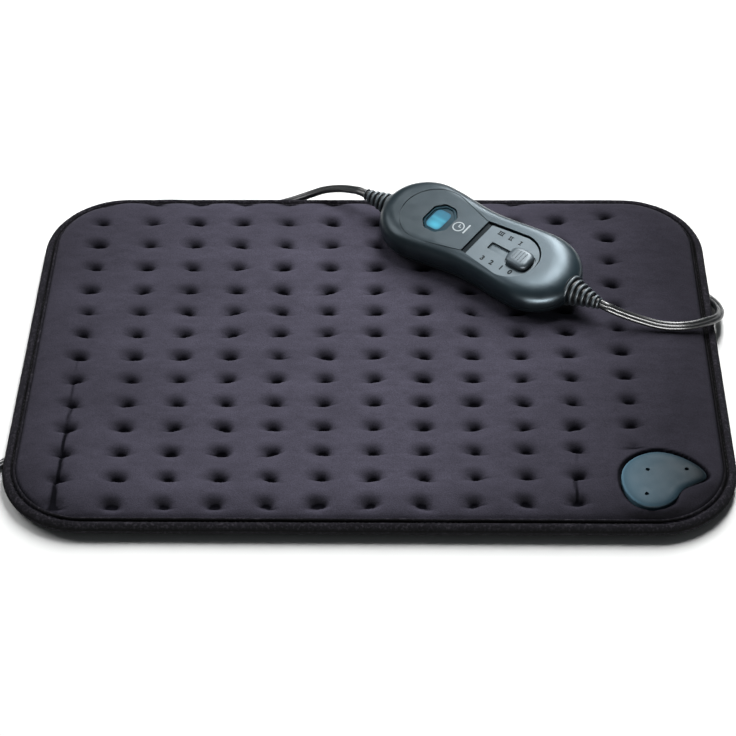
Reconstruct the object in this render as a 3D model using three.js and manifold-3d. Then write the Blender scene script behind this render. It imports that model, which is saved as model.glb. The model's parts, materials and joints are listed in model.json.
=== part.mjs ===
// Quilted heating pad with a hand controller on its lead. Millimetres, +Z up.
// The origin is the middle of the pad's underside, +X runs along the long side and -Y faces the user.
import * as THREE from 'three';
import { mergeVertices } from 'three/addons/utils/BufferGeometryUtils.js';
import Module from 'manifold-3d';

const wasm = await Module();
wasm.setup();

// General clearances and finishing values
const gap = 0.3;
const overrun = 2;
const roundSides = 16;
const smallSides = 10;

// Pad
const padWidth = 400;
const padDepth = 280;
const padCorner = 48;
const padHeight = 16;
const crownReach = 26;
const cornerSteps = 6;
const longSteps = 8;
const shortSteps = 6;

// Binding tape folded over the pad's edge
const tapeWidth = 8;
const tapeThickness = 1.3;
const tapeHeight = 5;
const tapeMiddle = 8;
const tapeRounding = 1.4;

// Covers, wadding and the heating layer between them
const hemThickness = 0.7;
const hemLength = 6;
const coverWall = 2.7;
const bottomFloor = 6;
const bellyReach = 26;
const roofFloor = 9.9;
const rimRise = 10.6;
const fleeceThickness = 0.6;
const waddingThickness = 0.8;
const wireDiameter = 1.3;
const wireRuns = 8;
const wireEdge = 26;
const wireSides = 5;
const wireBendSteps = 6;
const wireEndShift = 2;
const wireReturnDrop = 32;

// Quilting tufts
const tuftDepth = 4.4;
const tuftReach = 8.2;
const tuftRiseShare = 0.9;
const fieldMargin = 2;
const tuftRows = 13;
const tuftFrontEdge = 18.3;
const tuftBackEdge = 23.35;
const tuftBackRows = 3;
const tuftBackPitch = 21.4;
const tuftColumns = 12;
const tuftLeftEdge = 31.8;
const tuftRightEdge = 55.56;
const tuftEndPitch = 31.4;
const plainCornerRows = 2;
const plainBandStep = 30;

// Corner connector box, a rounded drop shape clamped through the pad's front right corner
const boxFromSide = 41.5;
const boxFromFront = 32.5;
const boxLength = 47;
const boxDepth = 42;
const boxSeat = 10.9;
const boxTop = 17.8;
const boxWall = 1.6;
const boxRimHeight = 2.6;
const boxBaseBottom = 0.3;
const boxBaseTop = 5;
const boxPassageShare = 0.72;
const boxBaseShare = 0.93;
const boxPinDiameter = 2.4;
const boxPinHead = 3.4;
const boxPinSink = 0.4;
const boxPinHeadHeight = 1.4;
const boxDome = 1.3;
const boxMeeting = 8;
const boxTerminalShift = -2;
const boxBossDiameter = 5.6;
const boxTerminalLength = 10;
const boxTerminalWidth = 8;
const boxTerminalHeight = 8;
const cutoutDiameter = 4;
const cutoutLength = 11;

// Controller casing
const controllerFromSide = 136.1;
const controllerFromBack = 68.6;
const controllerTurnAngle = 36.6;
const controllerLeanAngle = 10;
const displayEndRadius = 27.6;
const cordEndRadius = 26.7;
const displayEndX = -39;
const cordEndX = 41.8;
const waistHalfWidth = 23.6;
const casingHeight = 21;
const partingHeight = 10;
const casingWall = 2;
const endSteps = 9;
const waistSteps = 4;
const bellyInset = 17;
const crownInset = 8;
const shellSteps = 4;

// Controls on the top face, their axis turned a little off the casing's
const faceTurnAngle = -2.6;
const faceShift = -1.9;
const faceRecess = 0.8;
const flangeWidth = 1;
const flangeThickness = 0.9;
const panelStart = 2.6;
const panelLength = 40.6;
const panelHalfWidth = 16.6;
const panelNose = 17;
const panelStartShare = 0.8;
const noseSteps = 7;
const barWidth = 3;
const barDepth = 1.4;
const plateRadius = 21.5;
const plateX = -30.5;
const grooveWidth = 0.7;
const grooveDepth = 1.2;
const windowX = -26.4;
const windowWidth = 17;
const windowLength = 21.5;
const windowChamfer = 5;
const displayWidth = 11;
const displayLength = 15;
const slotWidth = 5.6;
const positionPitch = 6.6;
const positionCount = 4;
const offPositionX = 33;
const knobLength = 15.5;
const knobWidth = 13.5;
const knobHeight = 3.6;
const knobRibs = 3;
const knobRibWidth = 0.9;
const knobRibDepth = 0.6;
const knobRounding = 1.2;
const knobSquareness = 0.7;
const knobSteps = 24;
const collarWall = 1.4;
const stemLength = 3.6;
const stemWidth = 5;
const shutterThickness = 0.8;
const shutterWidth = 9;

// Inside the controller
const boardThickness = 1.6;
const boardFloor = 6;
const boardHalfWidth = 11.8;
const boardStart = -52;
const boardEnd = 52;
const boardPostDiameter = 4;
const boardPostInset = 8;
const switchWidth = 8;
const switchHeight = 4;
const switchEndRoom = 5;
const leverWidth = 3;
const leverLength = 2.6;
const leverRise = 2.6;
const troughDepth = 2;
const bossDiameter = 7;
const bossY = 16;
const cordBossShift = 3.5;
const screwDiameter = 2.6;
const screwHeadDiameter = 5;
const screwHeadHeight = 1.9;
const screwSeat = 3.4;
const screwLength = 12;
const terminalLength = 9;
const terminalWidth = 13;
const terminalHeight = 7.5;
const relayLength = 14;
const relayWidth = 10;
const relayHeight = 8;
const capacitorDiameter = 8;
const capacitorHeight = 8;
const fuseDiameter = 3.2;
const fuseLength = 14;
const chipSize = 8;
const chipHeight = 1.6;
const boardMargin = 0.8;
const relayX = -13;
const fuseX = -37.5;
const chipX = 0.5;

// Strain reliefs and leads
const leadDiameter = 4.8;
const leadSides = 8;
const padLeadSteps = 38;
const mainsLeadSteps = 36;
const tailSteps = 10;
const padReliefLength = 17;
const padReliefRoot = 16.5;
const padReliefRings = 6;
const mainsReliefLength = 17;
const mainsReliefRoot = 13;
const mainsReliefRings = 5;
const reliefTip = 7;
const reliefNeck = 8;
const reliefSides = 12;
const reliefCollar = 12;
const reliefCollarLength = 3;
const reliefBury = 4;
const reliefRibDepth = 0.9;
const grooveRoom = 0.8;
const floorRoom = 0.1;
const channelSteps = 34;

// Stored part of the mains lead and its plug
const coilFromSide = 56;
const coilFromFront = 10;
const coilInnerRadius = 20;
const coilPitch = 6.1;
const coilLift = 1.2;
const coilLayerTurns = [2.5, 2.5, 2.5, 2.25];
const coilClimbTurns = 0.5;
const coilStartAngle = 90;
const loopSteps = 24;
const coilSides = 6;
const tieWidth = 10;
const tieThickness = 0.9;
const tieRoom = 0.8;
const tieAngle = 315;
const plugBodyLength = 37;
const plugBodyWidth = 35.3;
const plugBodyHeight = 13.7;
const plugEdge = 1.3;
const plugAside = 4;
const plugAhead = 57;
const pinDiameter = 4;
const pinLength = 19;
const pinSpacing = 18.6;
const pinSeat = 8;

const degrees = Math.PI / 180;
const halfTurn = Math.PI;
const fullTurn = 2 * Math.PI;

// Places that follow the pad's edges
const sideEdge = padWidth / 2;
const backEdge = padDepth / 2;
const boxX = sideEdge - boxFromSide;
const boxY = boxFromFront - backEdge;
const controllerX = sideEdge - controllerFromSide;
const controllerY = backEdge - controllerFromBack;
const coilX = -sideEdge - coilFromSide;
const coilY = coilFromFront - backEdge;
const plugX = coilX + plugAside;
const plugY = coilY - plugAhead;

// Finishes
const finishes = {
  plush: { color: 0x4a4654, roughness: 0.95 },
  backing: { color: 0x3b3845, roughness: 0.95 },
  tape: { color: 0x17161a, roughness: 0.8 },
  fleece: { color: 0xb9b5ac, roughness: 0.95 },
  wadding: { color: 0xdedbd2, roughness: 1 },
  wire: { color: 0xc9c4b8, roughness: 0.6 },
  casing: { color: 0x46555c, roughness: 0.42 },
  panel: { color: 0x74828a, roughness: 0.5 },
  knob: { color: 0x8b979d, roughness: 0.4 },
  lens: { color: 0x27485c, roughness: 0.08 },
  display: { color: 0x35b5d8, roughness: 0.4 },
  rubber: { color: 0x202628, roughness: 0.55 },
  cord: { color: 0x151617, roughness: 0.3 },
  board: { color: 0x2d6b3f, roughness: 0.6 },
  component: { color: 0x24252a, roughness: 0.5 },
  steel: { color: 0xb4b8ba, roughness: 0.35, metalness: 0.9 },
  brass: { color: 0xc8a860, roughness: 0.3, metalness: 0.9 }
};

const object = new THREE.Group();
const controller = new THREE.Group();
const face = new THREE.Group();
const selector = new THREE.Group();

function addPiece(name, geometry, finish, parent = object) {
  const material = new THREE.MeshStandardMaterial(finishes[finish]);
  const mesh = new THREE.Mesh(geometry, material);
  mesh.name = name;
  parent.add(mesh);
  return mesh;
}

// Solids and booleans
function solidOf(geometry) {
  const plain = geometry.clone();
  plain.deleteAttribute('normal');
  plain.deleteAttribute('uv');
  const merged = mergeVertices(plain);
  const mesh = new wasm.Mesh({
    numProp: 3,
    vertProperties: new Float32Array(merged.attributes.position.array),
    triVerts: new Uint32Array(merged.index.array)
  });
  return new wasm.Manifold(mesh);
}

function geometryOf(solid) {
  const mesh = solid.getMesh();
  const geometry = new THREE.BufferGeometry();
  geometry.setAttribute('position', new THREE.BufferAttribute(mesh.vertProperties, 3));
  geometry.setIndex(new THREE.BufferAttribute(mesh.triVerts, 1));
  return geometry;
}

function cut(base, tools) {
  let solid = solidOf(base);
  for (const tool of tools) solid = solid.subtract(solidOf(tool));
  return geometryOf(solid);
}

function join(pieces) {
  let solid = solidOf(pieces[0]);
  for (const piece of pieces.slice(1)) solid = solid.add(solidOf(piece));
  return geometryOf(solid);
}

function trim(base, limit) {
  return geometryOf(solidOf(base).intersect(solidOf(limit)));
}

function meshFrom(points, triangles) {
  const geometry = new THREE.BufferGeometry();
  geometry.setFromPoints(points);
  geometry.setIndex(triangles);
  return geometry;
}

// Triangles over a flat outline, always facing up
function capTriangles(outline) {
  const contour = outline.map((p) => new THREE.Vector2(p.x, p.y));
  const faces = THREE.ShapeUtils.triangulateShape(contour, []);
  return faces.map(([a, b, c]) => {
    const ab = contour[b].clone().sub(contour[a]);
    const ac = contour[c].clone().sub(contour[a]);
    return ab.cross(ac) > 0 ? [a, b, c] : [a, c, b];
  });
}

// A solid through rings of equal point counts, each anticlockwise from above
function skin(rings, closedLoop = false) {
  const count = rings[0].length;
  const points = rings.flat();
  const triangles = [];
  const strips = closedLoop ? rings.length : rings.length - 1;
  for (let k = 0; k < strips; k += 1) {
    const low = k * count;
    const high = ((k + 1) % rings.length) * count;
    for (let i = 0; i < count; i += 1) {
      const j = (i + 1) % count;
      triangles.push(low + i, low + j, high + j, low + i, high + j, high + i);
    }
  }
  if (!closedLoop) {
    const top = (rings.length - 1) * count;
    for (const [a, b, c] of capTriangles(rings[0])) triangles.push(a, c, b);
    for (const [a, b, c] of capTriangles(rings[rings.length - 1])) triangles.push(top + a, top + b, top + c);
  }
  return meshFrom(points, triangles);
}

function ringAt(outline, height) {
  return outline.map((p) => new THREE.Vector3(p.x, p.y, height));
}

function prism(outline, low, high) {
  return skin([ringAt(outline, low), ringAt(outline, high)]);
}

function circleOutline(x, y, radius, sides = roundSides) {
  const outline = [];
  for (let i = 0; i < sides; i += 1) {
    const angle = (i * fullTurn) / sides;
    outline.push(new THREE.Vector2(x + radius * Math.cos(angle), y + radius * Math.sin(angle)));
  }
  return outline;
}

function upright(x, y, diameter, low, high, sides = roundSides) {
  return prism(circleOutline(x, y, diameter / 2, sides), low, high);
}

function block(x, y, length, width, low, high) {
  const geometry = new THREE.BoxGeometry(length, width, high - low);
  geometry.translate(x, y, (low + high) / 2);
  return geometry;
}

function scaledOutline(outline, share) {
  return outline.map((p) => p.clone().multiplyScalar(share));
}

function movedOutline(outline, x, y) {
  return outline.map((p) => new THREE.Vector2(p.x + x, p.y + y));
}

function insetOutline(outline, distance) {
  return outline.map((p, i) => {
    const before = outline[(i + outline.length - 1) % outline.length];
    const after = outline[(i + 1) % outline.length];
    const along = after.clone().sub(before).normalize();
    return new THREE.Vector2(p.x - along.y * distance, p.y + along.x * distance);
  });
}

// Pad outline at a distance in from the outer edge
function padOutline(edge) {
  const radius = padCorner - edge;
  const halfX = padWidth / 2 - padCorner;
  const halfY = padDepth / 2 - padCorner;
  const outline = [];
  const corners = [[halfX, halfY], [-halfX, halfY], [-halfX, -halfY], [halfX, -halfY]];
  corners.forEach(([x, y], side) => {
    for (let k = 0; k <= cornerSteps; k += 1) {
      const angle = (side + k / cornerSteps) * (halfTurn / 2);
      outline.push(new THREE.Vector2(x + radius * Math.cos(angle), y + radius * Math.sin(angle)));
    }
    const next = corners[(side + 1) % corners.length];
    const angle = (side + 1) * (halfTurn / 2);
    const steps = side % 2 === 0 ? longSteps : shortSteps;
    for (let k = 1; k < steps; k += 1) {
      const cx = x + ((next[0] - x) * k) / steps;
      const cy = y + ((next[1] - y) * k) / steps;
      outline.push(new THREE.Vector2(cx + radius * Math.cos(angle), cy + radius * Math.sin(angle)));
    }
  });
  return outline;
}

function edgeDistance(x, y) {
  const dx = Math.max(Math.abs(x) - (padWidth / 2 - padCorner), 0);
  const dy = Math.max(Math.abs(y) - (padDepth / 2 - padCorner), 0);
  if (dx > 0 && dy > 0) return padCorner - Math.hypot(dx, dy);
  return Math.min(padWidth / 2 - Math.abs(x), padDepth / 2 - Math.abs(y));
}

const coverEdge = tapeWidth + gap;
const cavityEdge = coverEdge + coverWall;

// Tuft places, the last column stopping short of the corner box
const tuftFieldWidth = padWidth - tuftLeftEdge - tuftRightEdge - 2 * tuftEndPitch;
const tuftFieldDepth = padDepth - tuftFrontEdge - tuftBackEdge - tuftBackRows * tuftBackPitch;
const tuftColumnPitch = tuftFieldWidth / (tuftColumns - 3);
const tuftRowPitch = tuftFieldDepth / (tuftRows - 1 - tuftBackRows);

function tuftPlaces() {
  const places = [];
  for (let row = 0; row < tuftRows; row += 1) {
    const backRows = Math.max(0, row - (tuftRows - 1 - tuftBackRows));
    const y = tuftFrontEdge - padDepth / 2 + (row - backRows) * tuftRowPitch + backRows * tuftBackPitch;
    for (let column = 0; column < tuftColumns; column += 1) {
      const inner = Math.min(Math.max(column - 1, 0), tuftColumns - 3);
      const ends = Math.min(column, 1) + Math.max(0, column - (tuftColumns - 2));
      const x = tuftLeftEdge - padWidth / 2 + ends * tuftEndPitch + inner * tuftColumnPitch;
      const covered = column === tuftColumns - 1 && row < plainCornerRows;
      if (!covered) places.push(new THREE.Vector2(x, y));
    }
  }
  return places;
}

const tufts = tuftPlaces();

function crownHeight(x, y) {
  const share = Math.min(Math.max((edgeDistance(x, y) - coverEdge) / crownReach, 0), 1);
  return rimRise + (padHeight - rimRise) * Math.sqrt(1 - (1 - share) ** 2);
}

// Delaunay triangles of a convex field of points; a slight bow keeps its straight sides convex
const bowShare = 0.001;
const farShare = 40;

function fieldTriangles(points) {
  const flat = points.map((p) => new THREE.Vector2(
    p.x * (1 + bowShare * (1 - (2 * p.y / padDepth) ** 2)),
    p.y * (1 + bowShare * (1 - (2 * p.x / padWidth) ** 2))
  ));
  const far = farShare * padWidth;
  const total = flat.length;
  flat.push(new THREE.Vector2(-far, -far), new THREE.Vector2(far, -far), new THREE.Vector2(0, far));
  let triangles = [[total, total + 1, total + 2]];
  const inCircle = ([a, b, c], p) => {
    const ax = flat[a].x - p.x;
    const ay = flat[a].y - p.y;
    const bx = flat[b].x - p.x;
    const by = flat[b].y - p.y;
    const cx = flat[c].x - p.x;
    const cy = flat[c].y - p.y;
    const sumA = ax * ax + ay * ay;
    const sumB = bx * bx + by * by;
    const sumC = cx * cx + cy * cy;
    return sumA * (bx * cy - cx * by) - sumB * (ax * cy - cx * ay) + sumC * (ax * by - bx * ay) > 0;
  };
  for (let i = 0; i < total; i += 1) {
    const edges = new Map();
    const kept = [];
    for (const triangle of triangles) {
      if (!inCircle(triangle, flat[i])) {
        kept.push(triangle);
        continue;
      }
      for (let k = 0; k < 3; k += 1) {
        const a = triangle[k];
        const b = triangle[(k + 1) % 3];
        if (edges.has(`${b},${a}`)) edges.delete(`${b},${a}`);
        else edges.set(`${a},${b}`, [a, b]);
      }
    }
    for (const [a, b] of edges.values()) kept.push([a, b, i]);
    triangles = kept;
  }
  return triangles.filter((triangle) => triangle.every((k) => k < total));
}

// Drop outline of the corner box, bezier stretches in shares of its half length and half depth
const boxStartShares = [-1, 0.02];
const boxOutlineShares = [
  [[-1, 0.62], [-0.52, 0.98], [-0.1, 1]],
  [[0.32, 1], [0.78, 0.62], [0.94, 0.34]],
  [[1.04, 0.16], [1.02, 0.02], [0.88, -0.08]],
  [[0.6, -0.28], [0.42, -0.28], [0.28, -0.6]],
  [[0.12, -0.92], [-0.16, -1], [-0.34, -1]],
  [[-0.72, -1], [-1, -0.56], [-1, 0.02]]
];
const boxCurveSteps = 5;

function boxOutline() {
  const place = ([x, y]) => [(x * boxLength) / 2, (y * boxDepth) / 2];
  const curve = new THREE.Path();
  curve.moveTo(...place(boxStartShares));
  for (const stretch of boxOutlineShares) curve.bezierCurveTo(...stretch.flatMap(place));
  const outline = curve.getPoints(boxCurveSteps);
  outline.pop();
  return outline.reverse();
}

const boxShape = boxOutline();
const boxPinShares = [[-0.36, 0.27], [0.53, 0.29], [-0.44, -0.58]];
const boxPinPlaces = boxPinShares.map(([x, y]) => [(x * boxLength) / 2, (y * boxDepth) / 2]);

function boxPrism(share, low, high) {
  return prism(movedOutline(scaledOutline(boxShape, share), boxX, boxY), low, high);
}

function boxUprights(diameter, low, high) {
  return boxPinPlaces.map(([x, y]) => upright(boxX + x, boxY + y, diameter, low, high, smallSides));
}

// What passes through every layer of the pad at the corner box
function boxPassages(low, high) {
  return [boxPrism(boxPassageShare, low, high), ...boxUprights(boxBossDiameter + 2 * gap, low, high)];
}

// Lead routes, by hand, each stretch measured from the corner or piece that it keeps to
const underPad = leadDiameter / 2 + floorRoom;
const padLeadOverEdge = [
  [-58.4, -125.1, 24.2], [-45.3, -128.4, 20.6], [-31.1, -130.2, 18.9], [-16.7, -128.8, 18.5],
  [-5.2, -123.8, 16.8], [2.6, -115.5, 13.6], [6.6, -104, 9.4], [6.4, -92, 5.2], [1.6, -82, 2.7]
];
const padLeadUnderEdge = [
  [-8, -77, 2.5], [-19, -80, 2.5], [-26.6, -89, 2.5], [-31.6, -104, 2.5], [-35.5, -130, 2.5]
];
const padLeadToBox = [[1.1, 57.5, 2.5], [0.3, 37.5, 2.5], [0.1, 19.5, 2.5]];
const mainsLeadOverEdge = [
  [-217.5, -6.4, 25.2], [-227, 1.6, 17.6], [-237, 6.2, 12], [-247, 7.3, 7.8], [-257, 6.6, 4.4],
  [-268, 4.2, 2.8], [-280, -1.6, 2.5]
];
const mainsLeadCrossingShares = [
  [0.137, 0.07], [0.284, 0.172], [0.442, 0.308], [0.6, 0.467], [0.747, 0.637], [0.884, 0.818]
];
const mainsLeadToCoil = [
  [25, 102, 2.5], [15, 74, 2.5], [3, 58, 2.6], [-10, 48.5, 3], [-28, 44.8, 3.5]
];
const tailRoute = [[-31.6, -21.8, 19.6], [-26.6, -33.4, 14.4], [-20, -43, 9], [-12.4, -51, 5.6]];

function placed(route, x, y) {
  return route.map(([dx, dy, z]) => new THREE.Vector3(x + dx, y + dy, z));
}

const padLeadOver = placed(padLeadOverEdge, sideEdge, backEdge);
const padLeadUnder = placed(padLeadUnderEdge, sideEdge, backEdge);
const padLeadIn = placed(padLeadToBox, boxX, boxY);
const mainsLeadOver = placed(mainsLeadOverEdge, sideEdge, backEdge);
const mainsLeadOut = placed(mainsLeadToCoil, -sideEdge, -backEdge);
const mainsLeadCrossing = mainsLeadCrossingShares.map(([x, y]) => {
  const from = mainsLeadOver[mainsLeadOver.length - 1];
  const to = mainsLeadOut[0];
  return new THREE.Vector3(from.x + (to.x - from.x) * x, from.y + (to.y - from.y) * y, from.z);
});

function leadTube(points, steps) {
  const path = new THREE.CatmullRomCurve3(points, false, 'centripetal');
  const section = new THREE.Shape(circleOutline(0, 0, leadDiameter / 2, leadSides));
  return new THREE.ExtrudeGeometry(section, { steps, extrudePath: path, bevelEnabled: false });
}

// Channel in the pad's underside where a lead runs
function leadChannel(points, steps) {
  const path = new THREE.CatmullRomCurve3(points, false, 'centripetal');
  const half = leadDiameter / 2 + grooveRoom;
  const bed = overrun + underPad;
  const low = [];
  const high = [];
  for (let k = 0; k <= steps; k += 1) {
    const place = path.getPointAt(k / steps);
    const along = path.getTangentAt(k / steps);
    const side = new THREE.Vector2(-along.y, along.x).normalize().multiplyScalar(half);
    low.push([place.x + side.x, place.y + side.y]);
    high.push([place.x - side.x, place.y - side.y]);
  }
  const outline = [...high, ...low.reverse()].map(([x, y]) => new THREE.Vector2(x, y));
  const turned = THREE.ShapeUtils.area(outline) > 0 ? outline : outline.reverse();
  return prism(turned, underPad - bed, underPad + half - gap / 2);
}

const terminalY = boxY + boxTerminalShift;
const padLeadEnd = new THREE.Vector3(boxX, terminalY + boxTerminalWidth / 2 + gap, underPad);
const padLeadBelow = [...padLeadOver.slice(-2), ...padLeadUnder, ...padLeadIn, padLeadEnd];
const mainsLeadBelow = [...mainsLeadOver.slice(-3), ...mainsLeadCrossing, ...mainsLeadOut];

// Pad pieces
function topCoverGeometry() {
  const hemLow = tapeMiddle + gap / 2;
  const wallRings = [
    ringAt(padOutline(cavityEdge), roofFloor),
    ringAt(padOutline(cavityEdge), hemLow),
    ringAt(padOutline(coverEdge - hemLength), hemLow),
    ringAt(padOutline(coverEdge - hemLength), hemLow + hemThickness),
    ringAt(padOutline(coverEdge), hemLow + hemThickness),
    ringAt(padOutline(coverEdge), rimRise)
  ];
  const rim = padOutline(coverEdge);
  const field = rim.map((p) => new THREE.Vector3(p.x, p.y, rimRise));
  const clearOfRim = coverEdge + fieldMargin;
  const addFieldPoint = (x, y, sink) => {
    if (edgeDistance(x, y) < clearOfRim) return;
    field.push(new THREE.Vector3(x, y, crownHeight(x, y) - sink));
  };
  for (const tuft of tufts) {
    const rise = crownHeight(tuft.x, tuft.y) - rimRise;
    addFieldPoint(tuft.x, tuft.y, Math.min(tuftDepth, rise * tuftRiseShare));
    for (let k = 0; k < 4; k += 1) {
      const angle = (k * halfTurn) / 2;
      addFieldPoint(tuft.x + tuftReach * Math.cos(angle), tuft.y + tuftReach * Math.sin(angle), 0);
    }
  }
  const bandX = padWidth / 2 - crownReach - coverEdge;
  const bandY = padDepth / 2 - padCorner;
  for (let y = -bandY; y <= bandY; y += plainBandStep) addFieldPoint(bandX, y, 0);
  const base = skin(wallRings);
  const wallCount = wallRings.flat().length;
  const rimStart = wallCount - rim.length;
  const points = [...wallRings.flat(), ...field.slice(rim.length)];
  const wallTriangles = Array.from(base.index.array);
  const capLength = 3 * (rim.length - 2);
  const withoutTop = wallTriangles.slice(0, wallTriangles.length - capLength);
  const toPoint = (k) => (k < rim.length ? rimStart + k : wallCount + k - rim.length);
  const crown = fieldTriangles(field).map((triangle) => triangle.map(toPoint));
  return meshFrom(points, [...withoutTop, ...crown.flat()]);
}

function topCover() {
  const recess = boxPrism(1 + 2 * gap / boxDepth, boxSeat, padHeight + overrun);
  return cut(topCoverGeometry(), [recess, ...boxPassages(roofFloor - overrun, padHeight + overrun)]);
}

function bottomCover() {
  const hemHigh = tapeMiddle - gap / 2;
  const hemLow = hemHigh - hemThickness;
  const rings = [[coverEdge + bellyReach, 0]];
  const bellySteps = 4;
  const bellyTop = tapeMiddle - tapeHeight / 2;
  for (let k = 1; k <= bellySteps; k += 1) {
    const angle = (k * halfTurn) / (2 * bellySteps);
    const edge = coverEdge + bellyReach * (1 - Math.sin(angle));
    rings.push([edge, bellyTop * (1 - Math.cos(angle))]);
  }
  rings.push([coverEdge, hemLow], [coverEdge - hemLength, hemLow], [coverEdge - hemLength, hemHigh]);
  rings.push([cavityEdge, hemHigh], [cavityEdge, bottomFloor]);
  const tray = skin(rings.map(([edge, height]) => ringAt(padOutline(edge), height)));
  const tools = [
    leadChannel(padLeadBelow, channelSteps),
    leadChannel(mainsLeadBelow, channelSteps),
    boxPrism(boxBaseShare + 2 * gap / boxDepth, -overrun, boxBaseTop + gap),
    ...boxPassages(-overrun, bottomFloor + overrun)
  ];
  return cut(tray, tools);
}

const layerEdge = cavityEdge + gap;
const fleeceFloor = bottomFloor + gap;
const wireMiddle = fleeceFloor + fleeceThickness + gap + wireDiameter / 2;
const waddingFloor = wireMiddle + wireDiameter / 2 + gap;

function layerSheet(floor, thickness) {
  const sheet = prism(padOutline(layerEdge), floor, floor + thickness);
  return cut(sheet, boxPassages(floor - overrun, floor + thickness + overrun));
}

// A bare tube of flat-sided rings along points, for wound wire and loops
function ringTube(points, radius, sides) {
  const rings = points.map((point, i) => {
    const before = points[Math.max(i - 1, 0)];
    const after = points[Math.min(i + 1, points.length - 1)];
    const along = after.clone().sub(before).normalize();
    const side = new THREE.Vector3(along.y, -along.x, 0).normalize();
    const up = side.clone().cross(along);
    const ring = [];
    for (let k = 0; k < sides; k += 1) {
      const angle = (k * fullTurn) / sides;
      const out = side.clone().multiplyScalar(radius * Math.cos(angle));
      ring.push(point.clone().add(out).addScaledVector(up, radius * Math.sin(angle)));
    }
    return ring;
  });
  const count = sides;
  const triangles = [];
  for (let k = 0; k < rings.length - 1; k += 1) {
    for (let i = 0; i < count; i += 1) {
      const j = (i + 1) % count;
      const low = k * count;
      const high = low + count;
      triangles.push(low + i, high + j, low + j, low + i, high + i, high + j);
    }
  }
  const last = (rings.length - 1) * count;
  for (let i = 1; i < count - 1; i += 1) {
    triangles.push(0, i, i + 1);
    triangles.push(last, last + i + 1, last + i);
  }
  return meshFrom(rings.flat(), triangles);
}

// Heating wire laid to and fro on the fleece, both ends turning into the corner box
function heatingWire() {
  const returnX = padWidth / 2 - wireEdge;
  const back = padDepth / 2 - wireEdge;
  const pitch = (back - boxY) / (wireRuns - 1);
  const bend = pitch / 2;
  const left = wireEdge - padWidth / 2 + bend;
  const right = returnX - 2 * bend;
  const points = [[boxX - boxTerminalLength / 2 - gap, boxY]];
  for (let run = 0; run < wireRuns; run += 1) {
    const y = boxY + run * pitch;
    const side = run % 2 === 0 ? -1 : 1;
    const end = side < 0 ? left : right;
    points.push([end, y]);
    if (run === wireRuns - 1) continue;
    for (let k = 1; k <= wireBendSteps; k += 1) {
      const angle = (k * halfTurn) / wireBendSteps;
      points.push([end + side * bend * Math.sin(angle), y + bend * (1 - Math.cos(angle))]);
    }
  }
  for (let k = 1; k <= wireBendSteps; k += 1) {
    const angle = (k * halfTurn) / (2 * wireBendSteps);
    points.push([right + 2 * bend * Math.sin(angle), back - 2 * bend * (1 - Math.cos(angle))]);
  }
  const endX = boxX + wireEndShift;
  const turnY = boxY + boxDepth;
  for (let k = 0; k <= wireBendSteps; k += 1) {
    const share = k / wireBendSteps;
    const swing = (1 - Math.cos(share * halfTurn)) / 2;
    points.push([returnX + (endX - returnX) * swing, turnY - share * wireReturnDrop]);
  }
  points.push([endX, boxY + boxTerminalShift + boxTerminalWidth / 2 + gap]);
  return ringTube(points.map(([x, y]) => new THREE.Vector3(x, y, wireMiddle)), wireDiameter / 2, wireSides);
}

// Corner box pieces
function boxRings(levels) {
  return levels.map(([share, height]) => (
    ringAt(movedOutline(scaledOutline(boxShape, share), boxX, boxY), height)
  ));
}

const domeShares = [[0.965, 2], [0.86, 1], [0.62, 0]];

function boxCover() {
  const rim = boxSeat + gap;
  const shell = skin(boxRings([
    [1, rim], [1, rim + boxRimHeight], ...domeShares.map(([share, drop]) => [share, boxTop - drop * boxDome])
  ]));
  const wallShare = 1 - (2 * boxWall) / boxDepth;
  const hollow = skin(boxRings([
    [wallShare, rim - overrun], [wallShare, rim + boxRimHeight - boxWall],
    ...domeShares.slice(1).map(([share, drop]) => [wallShare * share, boxTop - drop * boxDome - boxWall])
  ]));
  const bosses = boxUprights(boxBossDiameter, boxMeeting + gap / 2, boxTop - boxWall);
  const headLow = boxTop - boxDome - boxPinSink - boxPinHeadHeight;
  const heads = boxUprights(boxPinHead + 2 * gap, headLow, boxTop + overrun);
  const holes = boxUprights(boxPinDiameter + 2 * gap, boxMeeting - overrun, boxTop);
  return cut(join([cut(shell, [hollow]), ...bosses]), [...heads, ...holes]);
}

function boxBase() {
  const shell = boxPrism(boxBaseShare, boxBaseBottom, boxBaseTop);
  const wallShare = boxBaseShare - (2 * boxWall) / boxDepth;
  const hollow = boxPrism(wallShare, boxBaseBottom + boxWall, boxBaseTop + overrun);
  const bosses = boxUprights(boxBossDiameter, boxBaseBottom + boxWall / 2, boxMeeting - gap / 2);
  const holes = boxUprights(boxPinDiameter + 2 * gap, -overrun, boxMeeting + overrun);
  const entry = leadChannel(padLeadBelow, channelSteps);
  return cut(join([cut(shell, [hollow]), ...bosses]), [...holes, entry]);
}

function boxPin(x, y) {
  const low = boxBaseBottom + gap;
  const headTop = boxTop - boxDome - boxPinSink;
  const headLow = headTop - boxPinHeadHeight + gap;
  return join([
    upright(x, y, boxPinDiameter, low, headTop - boxPinHeadHeight / 2, smallSides),
    upright(x, y, boxPinHead, headLow, headTop, smallSides)
  ]);
}

// Edge binding, a tape folded over the hems
function edgeBinding() {
  const low = tapeMiddle - tapeHeight / 2;
  const high = tapeMiddle + tapeHeight / 2;
  const profile = [
    [tapeWidth, low], [tapeRounding, low], [tapeRounding / 4, low + tapeRounding / 2], [0, tapeMiddle],
    [tapeRounding / 4, high - tapeRounding / 2], [tapeRounding, high], [tapeWidth, high],
    [tapeWidth, high - tapeThickness], [tapeThickness, high - tapeThickness],
    [tapeThickness, low + tapeThickness], [tapeWidth, low + tapeThickness]
  ];
  return skin(profile.map(([edge, height]) => ringAt(padOutline(edge), height)), true);
}

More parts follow.
